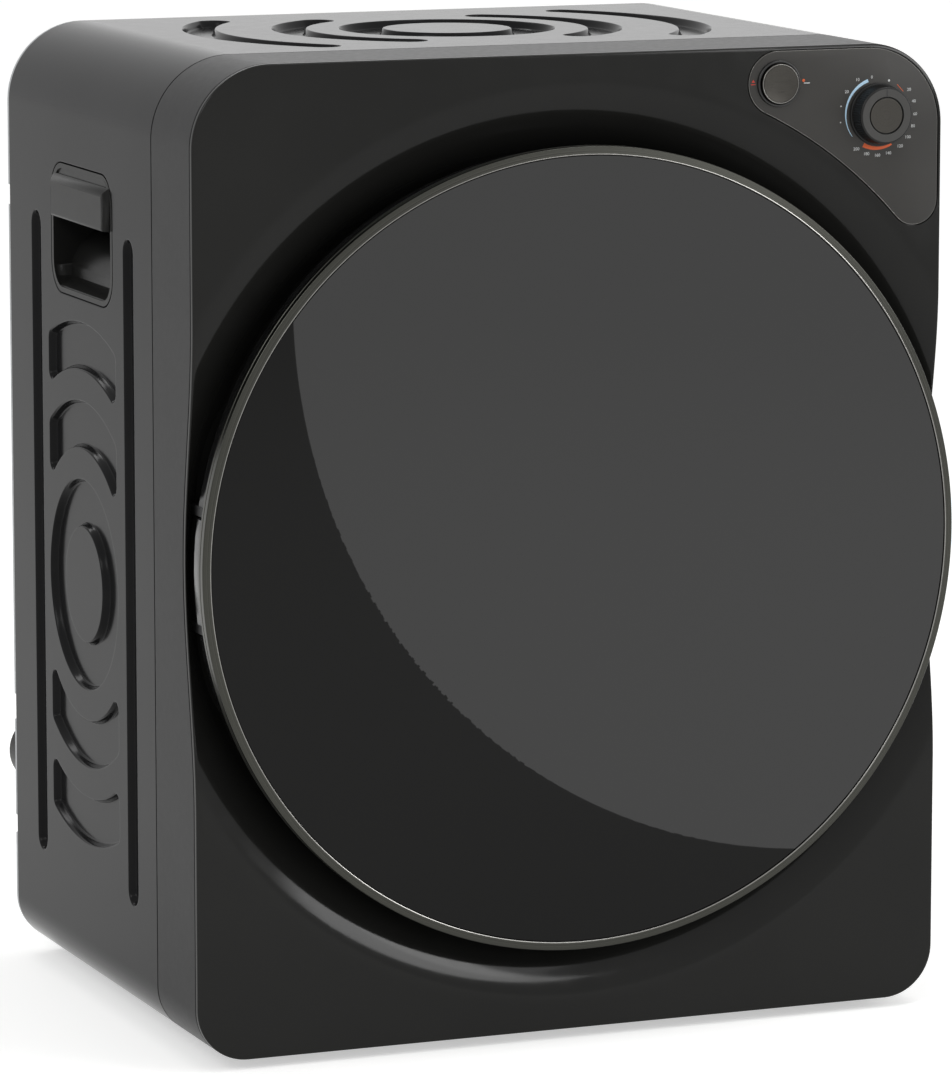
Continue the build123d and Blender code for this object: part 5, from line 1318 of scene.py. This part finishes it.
def button_place():
    """Across and height of the button's axis, level with the plate's end that touches the top margin."""
    plate = controls()
    return HALF - plate.knob_inset - plate.button_spacing, CROWN - plate.margin - plate.button_end


def plate_rings(section):
    """Ring of the control plate's outline for each point of a section, inset and depth."""
    rings = []
    for inset, depth in section:
        outline = fascia_outline(-inset)
        rings.append(np.column_stack([outline[:, 0], np.full(len(outline), PANEL_FLAT + depth), outline[:, 1]]))
    return np.concatenate(rings), len(rings[0])


def control_plate():
    """Mesh of the flat control plate: rings of its outline drawn in round an eased edge, closed on both faces."""
    ease = controls().ease
    thick = cabinet().panel_wall - 0.6 * MM
    points, count = plate_rings([(0.0, thick), (0.0, ease), (ease * 0.3, ease * 0.3), (ease, 0.0)])
    back, front = list(range(count)), list(range(3 * count, 4 * count))
    mesh = bpy.data.meshes.new("control_plate")
    mesh.from_pydata(points.tolist(), [], grid_faces(4, count, wrap_columns=True).tolist() + [back[::-1], front])
    work = bmesh.new()
    work.from_mesh(mesh)
    bmesh.ops.remove_doubles(work, verts=work.verts, dist=1e-6)
    bmesh.ops.recalc_face_normals(work, faces=work.faces)
    work.to_mesh(mesh)
    work.free()
    mesh.polygons.foreach_set("use_smooth", np.ones(len(mesh.polygons), bool))
    mesh.set_sharp_from_angle(angle=radians(38))
    return mesh


def bead_section(across, depth, radius, count=12):
    """Section of a bead: a circle of points about a middle."""
    turn = np.arange(count) * 2 * pi / count
    return np.column_stack([across + radius * np.cos(turn), depth + radius * np.sin(turn)])


def plate_edge():
    """Fine bright bead along the plate's eased edge: a circle carried along the outline."""
    points, count = plate_rings(bead_section(0.26 * MM, 0.2 * MM, controls().bead, 8))
    return points, [grid_faces(8, count, wrap_rows=True, wrap_columns=True)]


# How far a print stands before the plate's flat.
PRINT = 0.06 * MM


def arc_strip(place, radius, width, start, end, taper, steps=48):
    """Thin printed arc: radius and width against angle, tapering towards its end, as a closed ribbon."""
    angle = np.linspace(radians(start), radians(end), steps)
    half = width / 2 * (1 - taper * np.linspace(0, 1, steps))
    inner, outer = radius - half, radius + half
    rows = []
    for reach, depth in ((inner, -PRINT), (outer, -PRINT), (outer, PRINT), (inner, PRINT)):
        across, height = place[0] + reach * np.cos(angle), place[1] + reach * np.sin(angle)
        rows.append(np.column_stack([across, np.full(steps, PANEL_FLAT + depth), height]))
    squares = grid_faces(4, steps, wrap_rows=True)
    first, last = steps * np.arange(4), steps * np.array([0, 3, 2, 1]) + steps - 1
    return np.concatenate(rows), [np.vstack([squares, first, last])]


# Operators


class DRYER_OT_sheets(bpy.types.Operator):
    """Painted side and top sheets with the stamped pattern, and the flange behind them"""

    bl_idname = "dryer.sheets"
    bl_label = "Painted sheets"

    def execute(self, context):
        right = side_sheet()
        for name, form in (("right", right), ("left", mirrored(right)), ("top", top_sheet())):
            put("sheet_" + name, form, "cabinet_shell", sharp=50)
        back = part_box("cabinet_shell")[1].y - PANEL_FLAT
        front, edge, soft = back - cabinet().sheet, cabinet().flange, 0.2 * MM
        flange = rounded([(soft, front), (edge, front), (edge, back), (soft, back)], soft, 3)
        put("sheet_flange", outline_tube(braced(flange, True)), "cabinet_shell")
        return {"FINISHED"}


class DRYER_OT_front(bpy.types.Operator):
    """Dished front panel and the moulded frame behind it"""

    bl_idname = "dryer.front"
    bl_label = "Front panel and frame"

    def execute(self, context):
        put("panel_dished", front_panel(), "front_panel")
        put("frame_band", frame_band(), "front_frame")
        return {"FINISHED"}


class DRYER_OT_controls(bpy.types.Operator):
    """Control plate, knob, button and the printed scale"""

    bl_idname = "dryer.controls"
    bl_label = "Controls"

    def execute(self, context):
        self.plate()
        self.knob()
        self.button()
        self.scale()
        return {"FINISHED"}

    def plate(self):
        """Control plate, flush with the panel, and its bead."""
        put("control_plate", control_plate(), "control_fascia")
        put("plate_edge", plate_edge(), "control_fascia", polished("plate_bead", 0.16), sharp=80)

    def knob(self):
        """Knob with its ribbed side, ring face, pointer line and let-in disc."""
        size = controls()
        x, z = knob_place()
        grip, lean, step = size.knob_radius, size.knob_taper, -size.knob_step
        face, foot = -size.knob_reach, -size.knob_foot
        disc, well = size.knob_disc + size.knob_line, face + size.knob_well
        profile = [
            (0.0, foot),
            (size.knob_skirt, foot),
            (size.knob_skirt, step),
            (grip + lean, step),
            (grip - lean, face),
            (disc, face),
            (disc, well),
            (0.0, well),
        ]
        line = rounded(profile, in_metres(0, 0.3, 0.7, 0, 1.3, 0.25, 0, 0), 7)
        line = started_at(line, (0.0, foot))
        ribbed = spaced(face + 1.6 * MM, (step - 0.4 * MM, 1.2 * MM))
        slope = 2 * lean / (step - face)
        side = np.column_stack([grip + lean + slope * (ribbed - step), ribbed])[::-1]
        line = merge_rows(line, side)

        def ripple(rows, angles):
            """Scallops of the grip, which fade out towards the face and the skirt."""
            from_face = rows[:, 1] - (face + 1.0 * MM)
            from_skirt = step - 0.1 * MM - rows[:, 1]
            strength = np.clip(np.minimum(from_face, from_skirt) / (0.8 * MM), 0, 1)
            on_grip = rows[:, 0] > disc + 2 * MM
            return -size.knob_rib * (strength * on_grip)[:, None] * (1 + np.cos(size.knob_ribs * angles)) / 2

        form = lathe(line, x, z, size.knob_ribs * 8, ripple)
        dark = grained_moulding("knob_side", grey(0.01), roughness=0.34, grain=1600.0, strength=0.1, gloss=1.3)
        put("knob_grip", form, "timer_knob", dark, sharp=50)
        inside, outside, low, high = disc + 0.2 * MM, grip - 1.5 * MM, face + 0.3 * MM, face - 0.12 * MM
        ring = [(inside, low), (outside, low), (outside, high), (inside, high)]
        ring = rounded(ring, in_metres(0, 0, 0.2, 0.2), 4)
        put("knob_face_ring", lathe(ring, x, z, 192), "timer_knob")
        cap = [(0, well), (size.knob_disc, well), (size.knob_disc, face + 0.2 * MM), (0, face + 0.35 * MM)]
        cap = rounded(cap, in_metres(0, 0, 0.4, 0), 5)
        put("knob_face_disc", lathe(cap, x, z, 128), "knob_disc")
        width, depths = 0.35 * MM, (face - 0.16 * MM, face + 0.3 * MM)
        heights = (z + disc + 0.4 * MM, z + grip - 1.4 * MM)
        pointer = box_form((x - width, x + width), depths, heights)
        put("knob_pointer", pointer, "timer_knob", ink("pointer_ink", grey(0.006)))

    def button(self):
        """Button with a dished metal cap and a bead along its edge, in its collar."""
        size = controls()
        x, z = button_place()
        outer, radius, face, back = size.collar_radius, size.button_radius, -size.button_reach, -0.5 * MM
        inner, low, high = outer - size.collar_wall, 0.4 * MM, -size.collar_reach
        collar = rounded([(inner, low), (outer, low), (outer, high), (inner, high)], in_metres(0, 0, 0.7, 0.5), 6)
        put("button_surround", lathe(collar, x, z, 160), "button_collar")
        share, dip, lip = np.linspace(0, 1, 14), 0.9 * MM, radius - 1.1 * MM
        bowl = np.column_stack([share * lip, face + dip * (1 - share**2)])
        turn, half, tall = np.linspace(pi, 2 * pi, 8), 0.55 * MM, 0.4 * MM
        rim = np.column_stack([radius - half + half * np.cos(turn), face + tall + tall * np.sin(turn)])
        line = np.concatenate([bowl, rim, [(radius, back), (0.0, back)]])
        put("button_cap", lathe(line, x, z, 160), "mode_button")
        bead = bead_section(radius - 0.5 * MM, face + 0.25 * MM, 0.3 * MM)
        put("button_rim", lathe(bead, x, z, 160), "mode_button", polished("button_bead", 0.2))

    def scale(self):
        """Printed arcs, marks and plain numbers round the knob and beside the button."""
        tones = finishes()
        knob, (across, up) = knob_place(), button_place()
        left, right = (across - 16.7 * MM, up), (across + 16.9 * MM, up)
        white, red = ink("white_ink", (0.62, 0.63, 0.63)), ink("red_ink", (0.55, 0.035, 0.02))
        orange, blue = ink("orange_ink", tones.hot_scale), ink("blue_ink", tones.cool_scale)
        numbers = [(text, *on_dial(turn)) for text, turn in DIAL_NUMBERS] + [("0", *beside(knob, -4.2, 22.6))]
        mesh = printed_numbers("scale_numbers", numbers, controls().number_height)
        put("scale_numbers", mesh, "control_fascia", white)
        dots = [dot_form(on_dial(turn), 0.45 * MM) for turn in (167.5, 190.0)]
        dots.append(dot_form(beside(knob, 7.4, 20.2), 0.75 * MM))
        prints = [
            ("cool", [arc_strip(knob, 21.6 * MM, 2.0 * MM, 108, 218, taper=0.85)], blue),
            ("hot", [arc_strip(knob, 21.0 * MM, 2.7 * MM, 243, 297, taper=0.55)], orange),
            ("dots", dots + [ink_form(right, DASH_RIGHT)], white),
            ("tick", [ink_form(knob, TICK), dot_form(beside(right, 0.0, 1.3), 0.95 * MM)], orange),
            ("arrow", [ink_form(left, ARROW), ink_form(left, DASH_LEFT)], red),
        ]
        for name, forms, material in prints:
            put("scale_" + name, joined(*forms), "control_fascia", material)


# Radius of the ring of numbers, and the numbers with their angles in degrees.
DIAL = 25.4 * MM
DIAL_NUMBERS = (
    *zip(("20", "40", "60", "80", "100", "120"), (34, 16, -2, -19, -36, -53)),
    *zip(("140", "160", "180", "200", "20", "10"), (-73, -90, -107, -124, 146, 123)),
)
# Outlines of the prints in millimetres: tick beside the knob, arrow and dash left of the button, dash right of it.
TICK = ((12.8, 17.5), (17.0, 13.1), (17.3, 13.4), (13.1, 17.8))
ARROW = ((-1.1, 1.0), (1.1, 1.0), (0.0, 2.8))
DASH_LEFT = ((-1.5, -0.5), (1.5, -0.5), (1.5, 0.0), (-1.5, 0.0))
DASH_RIGHT = ((0.2, -0.6), (4.2, -0.6), (4.2, -0.1), (0.2, -0.1))


def in_metres(*millimetres):
    """Lengths given in millimetres."""
    return np.array(millimetres) * MM


def beside(place, across, up):
    """Place moved by millimetres across and up."""
    return place[0] + across * MM, place[1] + up * MM


def on_dial(turn):
    """Place on the ring of numbers at an angle in degrees."""
    x, z = knob_place()
    return x + DIAL * cos(radians(turn)), z + DIAL * sin(radians(turn))


def ink_form(place, offsets):
    """Thin print over a convex outline, given in millimetres from a place."""
    outline = np.array(place) + np.array(offsets) * MM
    count = len(outline)
    layers = [np.insert(outline, 1, PANEL_FLAT + depth, axis=1) for depth in (-PRINT, 0.05 * MM)]
    after = np.arange(1, count - 1)
    fan = np.column_stack([np.zeros(count - 2, int), after, after + 1])
    here = np.arange(count)
    ahead = np.roll(here, -1)
    sides = np.column_stack([here, ahead, ahead + count, here + count])
    return np.concatenate(layers), [np.concatenate([fan, fan[:, ::-1] + count]), sides[:, ::-1]]


def dot_form(place, radius):
    """Round printed dot."""
    turn = np.arange(16) * pi / 8
    return ink_form(place, np.column_stack([np.cos(turn), np.sin(turn)]) * radius / MM)


def printed_numbers(name, marks, tall):
    """One mesh of small raised numbers, each with its middle at its place on the plate."""
    work = bmesh.new()
    for text, x, z in marks:
        curve = bpy.data.curves.new(name, "FONT")
        curve.body, curve.size, curve.extrude = text, tall, 0.04 * MM
        curve.align_x, curve.align_y, curve.resolution_u = "CENTER", "CENTER", 3
        holder = placed(name, curve)
        mesh = bpy.data.meshes.new_from_object(holder.evaluated_get(bpy.context.evaluated_depsgraph_get()))
        mesh.transform(Matrix.Translation((x, PANEL_FLAT - 0.02 * MM, z)) @ Matrix.Rotation(pi / 2, 4, "X"))
        work.from_mesh(mesh)
        bpy.data.objects.remove(holder)
        bpy.data.curves.remove(curve)
        bpy.data.meshes.remove(mesh)
    bmesh.ops.remove_doubles(work, verts=work.verts, dist=1e-6)
    numbers = bpy.data.meshes.new(name)
    work.to_mesh(numbers)
    work.free()
    return numbers


def started_at(line, spot):
    """Closed line turned to start at its point nearest to a spot."""
    return np.roll(line, -int(np.argmin(np.linalg.norm(line - spot, axis=1))), 0)


def merge_rows(line, extra):
    """Profile with further points put in after the point that they follow most closely."""
    at = int(np.argmin(np.linalg.norm(line - extra[0], axis=1)))
    after = at if line[at, 1] > extra[0, 1] else at - 1
    return np.concatenate([line[: after + 1], extra, line[after + 1 :]])


def box_form(across, depths, heights):
    """Small block between two values of X, two depths and two heights."""
    corner = np.array([[x, PANEL_FLAT + d, z] for x in across for d in depths for z in heights])
    faces = np.array([[0, 1, 3, 2], [4, 6, 7, 5], [0, 4, 5, 1], [2, 3, 7, 6], [0, 2, 6, 4], [1, 5, 7, 3]])
    return corner, [faces]


class DRYER_OT_door(bpy.types.Operator):
    """Metal ring, glass and the mouldings of the door"""

    bl_idname = "dryer.door"
    bl_label = "Door"

    def execute(self, context):
        size = door()
        face, outer = -size.proud, DOOR_RADIUS
        inner = outer - size.bezel_face
        skirt = face + size.bezel_skirt
        groove = face + size.bezel_skirt * 0.62
        notch = size.bezel_groove
        wall = size.bezel_wall
        profile = [
            (inner, face),
            (outer, face + size.bezel_slope),
            (outer, groove - notch),
            (outer - notch, groove),
            (outer, groove + notch),
            (outer, skirt),
            (outer - wall, skirt),
            (outer - wall, face + wall),
            (inner, face + wall),
        ]
        ring = rounded(profile, in_metres(0.4, 0.7, 0.2, 0.2, 0.2, 0.5, 0.2, 0.2, 0), 6)
        put("bezel_ring", lathe(ring, segments=512), "door_bezel")
        bead = bead_section(inner + size.bead_middle, face + size.bead + 0.02 * MM, size.bead)
        put("bezel_bead", lathe(bead, segments=512), "door_bezel", polished("bezel_polish", 0.22), sharp=80)
        front = face + size.glass_set_back
        radius, back = inner - size.glass_gap, front + size.glass
        pane = rounded([(0, front), (radius, front), (radius, back), (0, back)], in_metres(0, 0.4, 0.4, 0), 5)
        put("glass_pane", lathe(started_at(pane, (0.0, front)), segments=512), "door_glass")
        for node in ("door_ring", "door_liner", "door_seal"):
            eased_copy(node, node + "_moulding", size.eased_edge)
        return {"FINISHED"}


def handle_painted_shade():
    """Near-black strip let into the gap round a handle moulding, painted shade where the gap's shadow falls: a small
    square section carried round the hole.
    """
    grip = handle()
    path = box_path((grip.depth, CROWN - grip.drop), (grip.width, grip.tall), grip.corner)
    near, far, front, back = 0.05 * MM, grip.edge - 0.05 * MM, 0.45 * MM, 1.2 * MM
    section = np.array([(near, front), (far, front), (far, back), (near, back)])
    flat = path[0] + section[:, None, :1] * path[1]
    across = np.broadcast_to(HALF - section[:, None, 1], flat.shape[:2])
    points = np.stack([across, PANEL_FLAT + flat[..., 0], flat[..., 1]], -1)
    return points.reshape(-1, 3), [grid_faces(*flat.shape[:2], wrap_rows=True, wrap_columns=True)]


class DRYER_OT_handles(bpy.types.Operator):
    """Handle mouldings in both sides"""

    bl_idname = "dryer.handles"
    bl_label = "Handles"

    def execute(self, context):
        line = handle_painted_shade()
        for side, form in (("right", line), ("left", mirrored(line))):
            node = "handle_pocket_" + side
            moulding = eased_copy(node, "handle_moulding_" + side, handle().ease, segments=4)
            ease_only_beyond(moulding, HALF + 2 * MM)
            # Near-black, barely glossy strip in the gap round the moulding: painted shade where the gap's shadow
            # falls.
            black = rubber("handle_line_rubber_" + side, grey(0.003), gloss=1.03)
            put("handle_line_" + side, form, node, black)
        return {"FINISHED"}


class DRYER_OT_carried(bpy.types.Operator):
    """Finishes of the nodes that keep their CAD shape"""

    bl_idname = "dryer.carried"
    bl_label = "Carried-over nodes"

    def execute(self, context):
        for node, piece in frame["nodes"].items():
            piece.data.materials.clear()
            piece.data.materials.append(slot_finish(SLOTS[node]))
        return {"FINISHED"}


# Soft boxes: name, place, width and height, and watts.
LAMPS = (
    ("key", (-2.4, -1.6, 2.4), (1.4, 1.0), 22.0),
    ("overhead", (0.9, -0.7, 2.5), (1.5, 0.35), 10.0),
    ("front_right", (1.85, -2.2, 1.45), (1.5, 1.1), 12.0),
    ("right", (2.1, -1.1, 1.0), (0.35, 0.7), 6.0),
    ("rear", (-0.5, 2.6, 2.9), (1.4, 0.5), 12.0),
)
# Lamp that draws the highlight in the dish, turned about its own axis.
DISH_GLARE = ("dish_glare", (1.734, -1.875, 1.074), (2.0, 0.75), 38.0)
DISH_GLARE_TURN = radians(33)
# Round lamp that the glass shows.
DOOR_GLARE_PLACE = (0.3591, -0.6046, 0.4142)
DOOR_GLARE_WIDTH = 0.798
DOOR_GLARE_POWER = 5.2
FLOOR_REACH = 14.0
FLOOR_GLOW = 0.5
# Strength of the surroundings as light, and as the camera and mirrors see them.
SKY_LIGHT, SKY_SEEN = 0.6, 1.0
# Camera's place, its angles down and to the right, and its sensor and lens in millimetres.
CAMERA_PLACE = (-1.4406, -3.5913, 0.9162)
CAMERA_DOWN, CAMERA_RIGHT = radians(9.281), radians(22.004)
CAMERA_SENSOR, CAMERA_LENS = 36.0, 207.3


class DRYER_OT_stage(bpy.types.Operator):
    """Floor, backdrop, light and camera"""

    bl_idname = "dryer.stage"
    bl_label = "Stage"

    def execute(self, context):
        self.floor()
        self.world()
        for values in LAMPS:
            self.lamp(*values)
        self.door_glare()
        sweep = self.lamp(*DISH_GLARE)
        sweep.rotation_euler.rotate_axis("Z", DISH_GLARE_TURN)
        sweep.visible_diffuse = False
        self.shown_by(sweep, "panel_dished", "bezel_bead")
        self.camera()
        context.scene.view_settings.view_transform = "Standard"
        return {"FINISHED"}

    def seen_white(self, tree):
        """One for a ray that the camera, a mirror or glass sends, and nought for the others."""
        path = tree.nodes.new("ShaderNodeLightPath")
        total = path.outputs["Is Camera Ray"]
        for name in ("Is Glossy Ray", "Is Transmission Ray"):
            add = tree.nodes.new("ShaderNodeMath")
            add.operation = "MAXIMUM"
            tree.links.new(total, add.inputs[0])
            tree.links.new(path.outputs[name], add.inputs[1])
            total = add.outputs["Value"]
        return total

    def floor(self):
        """Pale floor that looks white to the camera and keeps the shadow."""
        mesh = bpy.data.meshes.new("floor")
        corners = [(x * FLOOR_REACH, y * FLOOR_REACH, 0) for x, y in ((-1, -1), (1, -1), (1, 1), (-1, 1))]
        mesh.from_pydata(corners, [], [(0, 1, 2, 3)])
        plane = placed("floor", mesh)
        shader = Shader("floor_pale")
        shader.set(Base_Color=(*finishes().floor, 1), Roughness=0.9, Emission_Color=(1, 1, 1, 1))
        glow = shader.node("ShaderNodeMath", operation="MULTIPLY")
        glow.inputs[1].default_value = FLOOR_GLOW
        shader.join(self.seen_white(shader.tree), glow.inputs[0])
        shader.join(glow.outputs["Value"], shader.surface.inputs["Emission Strength"])
        mesh.materials.append(shader.material)

    def world(self):
        """Soft white surroundings, brighter to the camera and to mirrors than to matt faces."""
        world = bpy.data.worlds.new("studio")
        world.use_nodes = True
        tree = world.node_tree
        background = tree.nodes["Background"]
        background.inputs["Color"].default_value = (1, 1, 1, 1)
        strength = tree.nodes.new("ShaderNodeMapRange")
        strength.inputs["To Min"].default_value = SKY_LIGHT
        strength.inputs["To Max"].default_value = SKY_SEEN
        tree.links.new(self.seen_white(tree), strength.inputs["Value"])
        tree.links.new(strength.outputs["Result"], background.inputs["Strength"])
        bpy.context.scene.world = world

    def lamp(self, name, place, size, power):
        """Soft box, wide by tall, that faces the middle of the machine."""
        light = bpy.data.lights.new(name, "AREA")
        light.shape = "RECTANGLE"
        light.size, light.size_y = size
        light.energy = power
        lamp = placed(name, light)
        lamp.location = place
        lamp.rotation_euler = (Vector((0.0, 0.0, AXIS)) - Vector(place)).to_track_quat("-Z", "Y").to_euler()
        return lamp

    def shown_by(self, lamp, *pieces):
        """Let a lamp light only some pieces."""
        group = bpy.data.collections.new(lamp.name + "_pieces")
        for piece in pieces:
            group.objects.link(bpy.data.objects[piece])
        lamp.light_linking.receiver_collection = group

    def door_glare(self):
        """Round lamp before the door, which only the glass shows."""
        light = bpy.data.lights.new("door_glare", "AREA")
        light.shape = "DISK"
        light.size = DOOR_GLARE_WIDTH
        light.energy = DOOR_GLARE_POWER
        lamp = placed("door_glare", light)
        lamp.location = DOOR_GLARE_PLACE
        lamp.rotation_euler = (pi / 2, 0, 0)
        lamp.visible_diffuse = False
        lamp.visible_camera = False
        self.shown_by(lamp, "glass_pane")

    def camera(self):
        """Camera where the photograph was taken from."""
        data = bpy.data.cameras.new("camera")
        data.sensor_width, data.lens = CAMERA_SENSOR, CAMERA_LENS
        data.clip_start, data.clip_end = 0.05, 60.0
        camera = placed("camera", data)
        camera.location = CAMERA_PLACE
        camera.rotation_euler = (pi / 2 - CAMERA_DOWN, 0, -CAMERA_RIGHT)
        bpy.context.scene.camera = camera


OPERATORS = (
    DRYER_OT_carried,
    DRYER_OT_sheets,
    DRYER_OT_front,
    DRYER_OT_controls,
    DRYER_OT_door,
    DRYER_OT_handles,
    DRYER_OT_stage,
)


class DRYER_PT_pieces(bpy.types.Panel):
    """Lists the steps that build the dryer"""

    bl_label = "Tumble dryer"
    bl_idname = "DRYER_PT_pieces"
    bl_space_type = "VIEW_3D"
    bl_region_type = "UI"
    bl_category = "Dryer"

    def draw(self, context):
        for operator in OPERATORS:
            self.layout.operator(operator.bl_idname)


GROUPS = {
    "dryer_cabinet": CabinetSizes,
    "dryer_stamps": StampSizes,
    "dryer_handle": HandleSizes,
    "dryer_door": DoorSizes,
    "dryer_controls": ControlSizes,
    "dryer_finishes": Finishes,
}


def register():
    """Add the classes and the scene's groups of sizes."""
    for group in (*GROUPS.values(), *OPERATORS, DRYER_PT_pieces):
        bpy.utils.register_class(group)
    for name, group in GROUPS.items():
        setattr(bpy.types.Scene, name, PointerProperty(type=group))


def unregister():
    """Remove what register added."""
    for name in GROUPS:
        delattr(bpy.types.Scene, name)
    for group in (DRYER_PT_pieces, *reversed(OPERATORS), *reversed(GROUPS.values())):
        bpy.utils.unregister_class(group)


def main():
    """Build every piece in order."""
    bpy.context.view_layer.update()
    register()
    for operator in OPERATORS:
        getattr(bpy.ops.dryer, operator.bl_idname.split(".")[1])()


if __name__ == "__main__":
    main()
